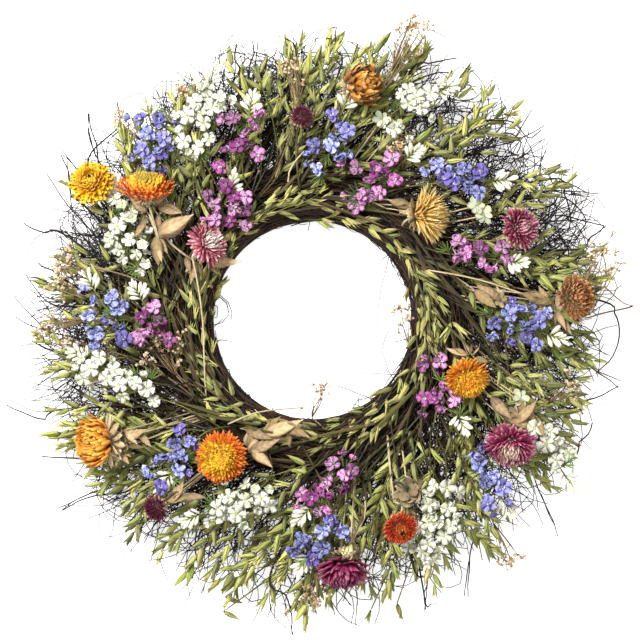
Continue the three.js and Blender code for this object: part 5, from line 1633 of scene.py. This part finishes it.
@dataclass
class Larkspur(Section):
    """Larkspur spikes: open florets with spurs, closed buds at the tip and finely cut leaves.

    Attributes:
        petal: an open floret's radius.
        beside: smaller florets next to each of the frame's.
        buds: closed buds in the fan at a spike's tip.
        bud: a bud's length.
        ferns: leaves for each floret.
    """

    petal: float = 10.4 * MM
    beside: int = 1
    buds: int = 9
    bud: float = 13.5 * MM
    ferns: int = 1
    seed: int = 53

    def build(self) -> None:
        """Grows each spike on its node."""
        rng, shop, greens = self.rng, self.shop, Spots(self.rng)
        for number, name in enumerate(shop.named("larkspur_")):
            hue = name.split("_")[1]
            bones = shop.skeleton(name)
            florets, buds, stalks = Spots(rng), Spots(rng), Paths(rng)
            heads, barred = [], set()
            for eye in bones.peaks(10, 2.3 * MM, 9.6 * MM) + bones.peaks(9, 2.3 * MM, 9.6 * MM):
                heads.append(bones.head(eye))
                barred |= bones.links[eye] | {eye}
            for tip in bones.peaks(3, 2.4 * MM, 8 * MM):
                barred |= bones.back(tip, 1)[1]
            axis = bones.axis(bones.near(bones.points[bones.root], 3 * MM) - barred, barred)
            stalks.add(axis, 0.9 * MM, 0.7 * MM, 0.5)
            spine = np.array(axis)
            for px, py in FLORET_PIXELS.get(name.removeprefix("larkspur_"), ()):
                normal = unit(UP + rng.normal(0, 0.25, 3))
                tip = unit(np.cross(normal, rng.normal(0, 1, 3)))
                heads.append(Floret(self.plan.over(px, py, 0.86), normal, tip, 7 * MM))
            log.info("%s: %d florets found", name, len(heads))
            for head in heads:
                joint = spine[np.argmin(np.linalg.norm(spine - head.centre, axis=1))]
                self.open_floret(florets, stalks, greens, head, joint, self.beside + (hue == "white"))
            self.fan(buds, stalks, spine[-1], unit(spine[-1] - spine[-3]))
            slot, kit = "larkspur_" + hue, "phlox" if hue == "white" else "floret"
            shop.plant(name + "_florets", florets, kit, LARKSPUR_FINISHES[hue], slot, [name], seed=number + 1)
            shop.plant(name + "_buds", buds, "bud", WHITE_BUD, "larkspur_white", [name], roll=1.0, seed=number + 30)
            shop.draw(name + "_stalks", stalks, STEM_GREEN, slot, [name], step=6 * MM)
        shop.plant("larkspur_leaves", greens, "fern", FERN, "oats", roll=0.7, vary=0.25, seed=7)

    def open_floret(self, florets: Spots, stalks: Paths, greens: Spots, head: Floret, joint: Array,
                    beside: int) -> None:
        """Adds a floret, smaller ones beside it on stalks of their own, and leaves under them."""
        rng, size = self.rng, 0.35 * head.radius + 0.65 * self.petal
        side = unit(np.array([*rng.normal(0, 1, 2), 0]))
        normal = unit(head.normal + side * rng.uniform(0, 0.5))
        florets.add(head.centre, head.tip, normal, size, (0, 0, 1, 1, 2))
        stalks.add([joint, (joint + head.centre) / 2 - 1.5 * MM * UP, head.centre - 0.8 * MM * head.normal], 0.7 * MM,
                   0.6 * MM, 0.4)
        for k in range(beside):
            turn = rng.uniform(-0.6, 0.6) + k * 2 * math.pi / beside
            side = np.array([math.cos(turn) * side[0] - math.sin(turn) * side[1],
                             math.sin(turn) * side[0] + math.cos(turn) * side[1], 0])
            place = head.centre + side * size * rng.uniform(0.9, 1.5) - UP * rng.uniform(0.5, 6) * MM
            normal = unit(head.normal + side * rng.uniform(0.3, 1.3))
            florets.add(place, unit(np.cross(normal, head.tip)), normal, size * rng.uniform(0.62, 0.95),
                        (0, 1, 1, 2, 2))
            stalks.add([joint, (joint + place) / 2 - 2 * MM * UP, place - normal * MM], 0.6 * MM, 0.5 * MM, 0.4)
        for _ in range(self.ferns):
            out = toward(rng.uniform(0, 2 * math.pi), rng.uniform(-0.1, 0.5))
            greens.add(joint, out, UP + rng.normal(0, 0.3, 3), rng.uniform(12, 20) * MM)

    def fan(self, buds: Spots, stalks: Paths, end: Array, ahead: Array) -> None:
        """Adds the fan of closed buds round a spike's tip."""
        rng, side = self.rng, unit(np.cross(UP, ahead))
        stalks.add([end - ahead * 4 * MM, end + ahead * 11 * MM], 0.8 * MM, 0.5 * MM, 0.4)
        for k in range(self.buds):
            share = k / (self.buds - 1)
            lean = (1.5 - 1.35 * share) * (1 if k % 2 else -1) + rng.normal(0, 0.14)
            out = unit(ahead + side * lean + UP * rng.uniform(0.0, 0.8))
            size = self.bud * rng.uniform(0.85, 1.15) * (1.05 - 0.3 * share)
            buds.add(end + ahead * (share * 15 - 5) * MM, out, UP + 0.2 * side, size)


@dataclass
class Strawflowers(Section):
    """Strawflowers: layers of papery bracts round a disc, scales behind, and dry leaves on the stem.

    Attributes:
        leaf_scale: a leaf's length as a share of that of the frame's leaf.
        pale_stems: the heads whose stems are pale.
    """

    leaf_scale: float = 1.12
    seed: int = 71
    pale_stems: tuple[str, ...] = ("orange_northwest", "pink_west", "amber_northeast", "red_south")

    def build(self) -> None:
        """Grows each flower on its node."""
        for number, name in enumerate(self.shop.named("strawflower_")):
            place = name.removeprefix("strawflower_")
            look, bones = BLOOM_LOOKS[place], self.shop.skeleton(name)
            head, leaves, stalks = self.head_of(bones), Spots(self.rng), Paths(self.rng)
            inside = bones.points - head.centre
            near = np.linalg.norm(inside, axis=1) < 1.06 * head.radius
            barred = set(np.flatnonzero(near & (inside @ head.normal > -0.47 * head.radius)).tolist())
            for tip in bones.peaks(4, 5 * MM, 40 * MM):
                path, passed = bones.back(tip, 2)
                if tip not in barred and len(path) > 2:
                    barred |= passed
                    self.leaf(bones, leaves, stalks, tip, path)
            start = bones.near(bones.points[bones.root], 3.6 * MM) - barred
            stalks.add([*bones.axis(start, barred), head.centre - 0.3 * head.radius * head.normal], 1.1 * MM, 1.0 * MM,
                       0.5)
            self.bloom(name, look, head, number)
            self.shop.draw(name + "_stem", stalks, STEM_CREAM if place in self.pale_stems else STEM_OLIVE, look.slot,
                           [name], sides=6, step=6 * MM)
            self.shop.plant(name + "_leaves", leaves, "leaf", TAN_LEAF, "tan_flowers", [name], roll=0.35,
                            seed=number + 1)
        self.closed_bud()

    def closed_bud(self) -> None:
        """Adds the closed tan bud in the south, on a pale stem."""
        foot, middle = self.plan.over(366, 500, 0.8), self.plan.over(348, 549, 1.1)
        axis = unit(np.array([-0.1, -0.4, 0.9]))
        head = Floret(middle, axis, unit(np.cross(axis, [1.0, 0, 0])), 12 * MM)
        bud = self.shop.bloom(head, CLOSED_SCALE, "shell", **CLOSED.inputs(), count=26, roll=0.2)
        self.shop.hand_over("closed_bud", bud, "tan_flowers")
        stem, root = Paths(self.rng), self.plan.around(132 * MM, self.plan.angle(foot), 36 * MM)
        stem.add([root, foot, middle - axis * 10 * MM - 2 * MM * UP, middle - axis * 3 * MM], 1.2 * MM, 1.1 * MM, 0.6)
        self.shop.draw("closed_bud_stem", stem, STEM_OLIVE, "tan_flowers", sides=6)

    def head_of(self, bones: Skeleton) -> Floret:
        """The head's centre, facing and radius, from the eye that all its bracts lead to."""
        eyes = bones.peaks(16, 1 * MM, 30 * MM) + bones.peaks(14, 1 * MM, 30 * MM)
        eye = max(eyes, key=lambda i: bones.points[i][2])
        found = bones.head(eye)
        above = bones.points[sorted(bones.links[eye])].mean(axis=0) - found.centre
        normal = -found.normal if above @ found.normal < 0 else found.normal
        radius = found.radius / 0.56
        return Floret(found.centre - 0.3 * radius * normal, normal, found.tip, radius)

    def leaf(self, bones: Skeleton, leaves: Spots, stalks: Paths, tip: int, path: list[Array]) -> None:
        """Adds a leaf where the frame has one, and a smaller one beside it."""
        ring = bones.points[sorted(bones.links[tip])]
        across = ring[:, None] - ring[None]
        widest = across.reshape(-1, 3)[np.argmax(np.linalg.norm(across, axis=2))]
        base = path[2]
        out = path[0] - base
        facing = np.cross(widest, out)
        facing = unit(facing if facing[2] > 0 else -facing)
        length = float(np.linalg.norm(out)) * self.leaf_scale
        leaves.add(base, unit(out), facing, length)
        turn = Matrix.Rotation(self.rng.choice([-1, 1]) * self.rng.uniform(0.5, 0.9), 3, "Z")
        leaves.add(base - 1.5 * MM * UP, np.array(turn @ Vector(unit(out))), facing, length * 0.6)
        if len(path) > 3:
            stalks.add([path[3], base], 0.6 * MM, 0.5 * MM, 0.4)

    def bloom(self, name: str, look: BloomLook, head: Floret, number: int) -> None:
        """Grows the bracts, the disc and the scales behind."""
        form, (heart, rim) = look.form, look.disc
        beads = PetalFinish(f"disc {name}", heart, rim, rim, (heart, 0.5), drift=0.3, age=0.2)
        parts = {
            "bracts": (0.0, look.finish, look.bracts.value, {
                **form.inputs(), "count": look.count, "first": look.disc_share, "seed": number * 7 + 1, "roll": 0.35,
                "vary": 0.14}),
            "disc": (form.disc_height, beads, "bead", {
                "count": 90, "base": look.disc_share + 0.12, "height": 0.16, "inner_tilt": 0.05, "outer_tilt": 0.8,
                "inner_length": 0.24, "outer_length": 0.3, "seed": number + 5, "roll": 3.0, "vary": 0.15}),
            "scales": (form.low * 0.7 - 0.14, TAN_SCALE, "sepal", {
                "count": 46, "base": 0.34, "height": -0.1, "inner_tilt": math.radians(150),
                "outer_tilt": math.radians(98), "inner_length": 0.3, "outer_length": form.calyx, "seed": number + 9,
                "vary": 0.15, "first": 0.1}),
        }
        for part, (up, finish, kit, inputs) in parts.items():
            moved = Floret(head.centre + head.normal * up * head.radius, head.normal, head.tip, head.radius)
            self.shop.hand_over(f"{name}_{part}", self.shop.bloom(moved, finish, kit, **inputs), look.slot, [name])


@dataclass
class Sprays(Section):
    """Sprays of tiny dried flowers: the frame's sprigs, and looser ones placed by the photograph.

    Attributes:
        flower: a tiny flower's radius.
        cluster: flowers to a head.
        loose: for each further spray, the foot and middle pixel, the spread in pixels, and its heads.
    """

    flower: float = 3.3 * MM
    cluster: int = 4
    seed: int = 89
    loose: tuple[tuple[float, ...], ...] = (
        (392, 70, 414, 30, 15, 12), (300, 100, 294, 72, 14, 9), (402, 172, 398, 139, 17, 12), (94, 276, 68, 262, 13, 8),
        (90, 318, 48, 322, 16, 11), (176, 376, 168, 346, 17, 11), (168, 378, 146, 361, 9, 5),
        (574, 300, 602, 262, 18, 11), (548, 404, 569, 388, 13, 8), (318, 556, 315, 594, 18, 12),
        (494, 524, 508, 557, 12, 8), (412, 352, 404, 320, 13, 7), (312, 418, 320, 391, 10, 6),
        (140, 140, 121, 122, 11, 6), (196, 120, 186, 92, 10, 6), (90, 300, 62, 284, 14, 7), (92, 346, 70, 346, 10, 6),
        (150, 340, 172, 346, 9, 6))

    def build(self) -> None:
        """Grows the frame's sprigs, and then the loose sprays."""
        rng, plan, shop = self.rng, self.plan, self.shop
        for number, name in enumerate(shop.named("sprig_")):
            bones, stalks, stars = shop.skeleton(name), Paths(rng), Spots(rng)
            for tip in bones.peaks(3, 3.2 * MM, 7 * MM):
                trail = bones.trail(tip)
                if len(trail) > 3:
                    stalks.add(trail[:-1], 0.75 * MM, 0.45 * MM)
                    self.head(stars, stalks, trail[-2], unit(trail[-1] - trail[-3]))
            shop.draw(name + "_stalks", stalks, STEM_RUSSET, "tan_flowers", [name], step=5 * MM)
            shop.plant(name + "_stars", stars, "star", TAN_STAR, "tan_flowers", [name], roll=0.6, seed=number + 3)
        stalks, stars = Paths(rng), Spots(rng)
        for fx, fy, mx, my, spread, heads in self.loose:
            foot, middle = plan.over(fx, fy, 0.66), plan.over(mx, my, 0.74)
            root = plan.around(130 * MM, plan.angle(foot) + 16, 34 * MM)
            stalks.add([root, root * 0.4 + foot * 0.6 + 4 * MM * UP, foot], 0.8 * MM, 0.7 * MM, 0.5)
            for _ in range(int(heads)):
                place = middle + np.array([*rng.normal(0, 0.45, 2) * spread * PIXEL, rng.uniform(-6, 7) * MM])
                fork = foot * 0.45 + place * 0.55 + rng.normal(0, 1.5, 3) * MM
                stalks.add([foot, fork, place], 0.5 * MM, 0.3 * MM)
                self.head(stars, stalks, place, unit(place - foot))
        shop.draw("loose_spray_stalks", stalks, STEM_RUSSET, "tan_flowers", step=5 * MM, kink=3 * MM)
        shop.plant("loose_spray_stars", stars, "star", TAN_STAR, "tan_flowers", roll=0.6, seed=19)

    def head(self, stars: Spots, stalks: Paths, place: Array, out: Array) -> None:
        """Adds a head: a few tiny flowers on hair-thin stalks."""
        rng = self.rng
        for _ in range(self.cluster):
            way = unit(out + rng.normal(0, 0.8, 3) + 0.35 * UP)
            end = place + way * rng.uniform(2, 6.5) * MM
            stalks.add([place, end], 0.3 * MM, 0.25 * MM)
            side = unit(np.cross(way, rng.normal(0, 1, 3)))
            stars.add(end, side, way, self.flower * rng.uniform(0.75, 1.2))


@dataclass
class Filling(Section):
    """Dry grass, cream stems, loose leaves and grey-green petals among the flowers.

    Attributes:
        grasses: long blades that swirl round the ring.
        cream_stems: pixel pairs of pale stems that lie on top.
        scraps: pixels of grey-green petal clusters.
        leaves: pixel pairs of further tan leaves, base and tip.
        slender: the length from which a leaf takes the narrowest shape.
        rosettes: pixel, number of leaves and their length in pixels for whorls of round tan leaves.
    """

    grasses: int = 420
    seed: int = 97
    cream_stems: Pairs = (
        (192, 256, 205, 391), (428, 270, 552, 304), (368, 201, 414, 207), (365, 500, 352, 540), (150, 215, 157, 262),
        (228, 424, 300, 408), (288, 182, 303, 152), (340, 196, 386, 208))
    scraps: Pixels = ((382, 120), (396, 128), (484, 216), (476, 206), (520, 398))
    leaves: Pairs = (
        (148, 213, 130, 195), (153, 207, 170, 190), (157, 235, 190, 217), (148, 217, 138, 243), (158, 247, 163, 262),
        (165, 205, 180, 212), (186, 256, 190, 270), (196, 262, 203, 276), (265, 421, 313, 432), (290, 432, 283, 452),
        (245, 430, 272, 440), (250, 448, 270, 463), (262, 436, 296, 424), (490, 397, 510, 417), (500, 407, 527, 427),
        (510, 425, 486, 428), (517, 400, 533, 420), (537, 417, 543, 437), (500, 405, 490, 396), (474, 290, 497, 309),
        (553, 303, 527, 297), (560, 312, 556, 288), (562, 318, 570, 336), (540, 296, 524, 294), (468, 355, 447, 352),
        (468, 355, 455, 346), (470, 354, 470, 342), (472, 355, 483, 348), (474, 358, 489, 362), (125, 430, 138, 443),
        (140, 433, 153, 447), (117, 450, 130, 463), (128, 446, 146, 444), (168, 504, 194, 479), (165, 499, 191, 499),
        (170, 496, 156, 504), (172, 498, 206, 491), (392, 205, 408, 200), (398, 210, 412, 214), (340, 560, 330, 552),
        (352, 560, 364, 550))
    slender: float = 38 * MM
    rosettes: tuple[tuple[float, float, int, float], ...] = (
        (407, 489, 14, 19), (116, 442, 12, 18), (500, 300, 5, 12), (350, 553, 8, 13))

    def build(self) -> None:
        """Grows the filling, whose leaves and petals share one piece of stalks."""
        stalks = Paths(self.rng)
        self.grass()
        self.cream()
        self.tan_leaves(stalks)
        self.whorls(stalks)
        self.petals(stalks)
        self.shop.draw("filling_stalks", stalks, STEM_CREAM, "tan_flowers")

    def grass(self) -> None:
        """Grows the dry blades."""
        rng, plan, blades = self.rng, self.plan, Spots(self.rng)
        for _ in range(self.grasses):
            angle = rng.uniform(0, 360)
            place = plan.around(rng.uniform(104, 190) * MM, angle)
            place[2] = max(plan.ring_top(plan.radius(place)), 16 * MM) + rng.uniform(1, 12) * MM
            out = toward(math.radians(angle - rng.uniform(35, 110)), rng.uniform(-0.12, 0.2))
            length = rng.uniform(45, 95) * MM
            end = place + out * length
            if 97 * MM < plan.radius(end) < plan.edge(plan.angle(end)):
                blades.add(place, unit(out), UP + rng.normal(0, 0.5, 3), length)
        self.shop.plant("dry_grass", blades, "grass", GRASS, "oats", roll=1.0, seed=5)

    def cream(self) -> None:
        """Lays the pale stems on top."""
        stems = Paths(self.rng)
        for x0, y0, x1, y1 in self.cream_stems:
            first, last = self.plan.over(x0, y0, 0.9), self.plan.over(x1, y1, 0.72)
            bow = 4 * MM * unit(np.cross(UP, last - first))
            tail = last * 0.95 + self.plan.around(122 * MM, self.plan.angle(last)) * 0.05 - 18 * MM * UP
            stems.add([first, first * 0.6 + last * 0.4 + 2 * MM * UP + bow, last, tail], 0.8 * MM, 0.65 * MM)
        self.shop.draw("cream_stems", stems, STEM_CREAM, "oats", sides=6, kink=4 * MM, kink_scale=24)

    def tan_leaves(self, stalks: Paths) -> None:
        """Grows the loose tan leaves."""
        leaves = Spots(self.rng)
        for x0, y0, x1, y1 in self.leaves:
            base, tip = self.plan.over(x0, y0, 0.84), self.plan.over(x1, y1, 0.9)
            size = float(np.linalg.norm(tip - base)) * 1.1
            leaves.add(base, unit(tip - base), UP + self.rng.normal(0, 0.3, 3), size,
                       (2,) if size > self.slender else (0, 1, 2))
            stalks.add(self.stalk(base), 0.7 * MM, 0.5 * MM)
        self.shop.plant("loose_tan_leaves", leaves, "leaf", TAN_LEAF, "tan_flowers", roll=0.4, seed=3)

    def whorls(self, stalks: Paths) -> None:
        """Grows the whorls of round tan leaves."""
        rng, whorls = self.rng, Spots(self.rng)
        for px, py, count, length in self.rosettes:
            middle = self.plan.over(px, py, 0.84)
            stalks.add(self.stalk(middle), 1.0 * MM, 0.8 * MM, 0.7)
            for k in range(count):
                out = unit(toward(2 * math.pi * k / count + rng.uniform(-0.3, 0.3), rng.uniform(0.0, 1.3)))
                size = length * PIXEL * rng.uniform(0.8, 1.2)
                whorls.add(middle, out, UP + rng.normal(0, 0.3, 3), size)
        self.shop.plant("tan_whorls", whorls, "scrap", WHORL_LEAF, "tan_flowers", roll=0.5, seed=6)

    def petals(self, stalks: Paths) -> None:
        """Grows the clusters of grey-green petals."""
        rng, petals = self.rng, Spots(self.rng)
        for px, py in self.scraps:
            middle = self.plan.over(px, py, 0.82)
            stalks.add(self.stalk(middle), 0.8 * MM, 0.6 * MM)
            for k in range(6):
                out = toward(k * 1.05, rng.uniform(0.1, 0.5))
                petals.add(middle, unit(out), unit(UP - 0.3 * out), rng.uniform(8, 11) * MM)
        self.shop.plant("grey_green_petals", petals, "scrap", GREY_PETAL, "larkspur_white", seed=4)

    def stalk(self, end: Array) -> list[Array]:
        """A stalk from the bundle's top up to a leaf or a petal cluster."""
        root = self.plan.around(min(self.plan.radius(end) - 8 * MM, 138 * MM), self.plan.angle(end) + 8)
        root[2] = self.plan.ring_top(self.plan.radius(root)) - 3 * MM
        return [root, root * 0.5 + end * 0.5 + 3 * MM * UP, end]


@dataclass
class Studio:
    """The floor, the lights and the camera straight above.

    Attributes:
        distance: the camera's height over the floor.
        plane: the height at which a pixel of the photograph has its stated size.
        frame_pixels: the photograph's side in pixels.
        sensor: the camera's sensor width in millimetres.
        floor_size: the floor's side.
        glow: how much light the floor gives of itself.
        sky: the strength of the even light all round.
        lamps: each square soft light's name, place, side and power.
    """

    distance: float = 4.2
    plane: float = 62 * MM
    frame_pixels: float = 640.0
    sensor: float = 36.0
    floor_size: float = 6.0
    glow: float = 0.66
    sky: float = 0.42
    lamps: tuple[tuple[str, tuple[float, float, float], float, float], ...] = (
        ("key", (-1.0, 1.0, 2.3), 0.9, 112.0), ("fill", (1.4, -0.9, 1.9), 1.6, 16.0))

    def build(self) -> None:
        """Makes the floor, the lights, the world and the camera."""
        mesh = bpy.data.meshes.new("floor")
        half = self.floor_size / 2
        mesh.from_pydata([(-half, -half, 0), (half, -half, 0), (half, half, 0), (-half, half, 0)], [], [(0, 1, 2, 3)])
        mesh.materials.append(Paint("floor paint").finished({
            "Base Color": (0.95, 0.95, 0.95, 1), "Roughness": 0.9, "Emission Color": (1, 1, 1, 1),
            "Emission Strength": self.glow}))
        shown("floor", mesh)
        for name, place, side, power in self.lamps:
            lamp = bpy.data.lights.new(name, "AREA")
            lamp.energy, lamp.size = power, side
            stand = shown(name, lamp)
            stand.location = place
            stand.rotation_mode = "QUATERNION"
            stand.rotation_quaternion = (-Vector(place)).to_track_quat("-Z", "Y")
        scene = bpy.context.scene
        scene.world = scene.world or bpy.data.worlds.new("world")
        scene.world.use_nodes = True
        sky = scene.world.node_tree.nodes["Background"].inputs
        sky["Color"].default_value, sky["Strength"].default_value = (1, 1, 1, 1), self.sky
        scene.view_settings.view_transform = "Standard"
        self.camera()

    def camera(self) -> None:
        """Sets the camera so that pixels of the photograph and of the render match at the plane's height."""
        eye = bpy.data.cameras.new("camera")
        stand = shown("camera", eye)
        middle = (self.frame_pixels / 2 - ORIGIN_PIXEL[0], ORIGIN_PIXEL[1] - self.frame_pixels / 2)
        stand.location = (middle[0] * PIXEL, middle[1] * PIXEL, self.distance)
        eye.sensor_width = self.sensor
        eye.lens = self.sensor * (self.distance - self.plane) / (self.frame_pixels * PIXEL)
        eye.clip_end = 50.0
        bpy.context.scene.camera = stand


def main() -> None:
    """Clears the scene, loads the frame and builds the wreath in order."""
    logging.basicConfig(level=logging.INFO, format="%(name)s: %(message)s")
    for item in list(bpy.data.objects):
        bpy.data.objects.remove(item)
    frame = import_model()
    low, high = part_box("wire_ring")
    shop = Workshop(frame, Plan(middle=((low.x + high.x) / 2, (low.y + high.y) / 2)))
    for kind in (RingBundle, TwigBrushes, OatBunches, Larkspur, Strawflowers, Sprays, Filling):
        kind(shop).build()
    RingBundle(shop).dress()
    shop.shapes.clear()
    Studio().build()


if __name__ == "__main__":
    main()
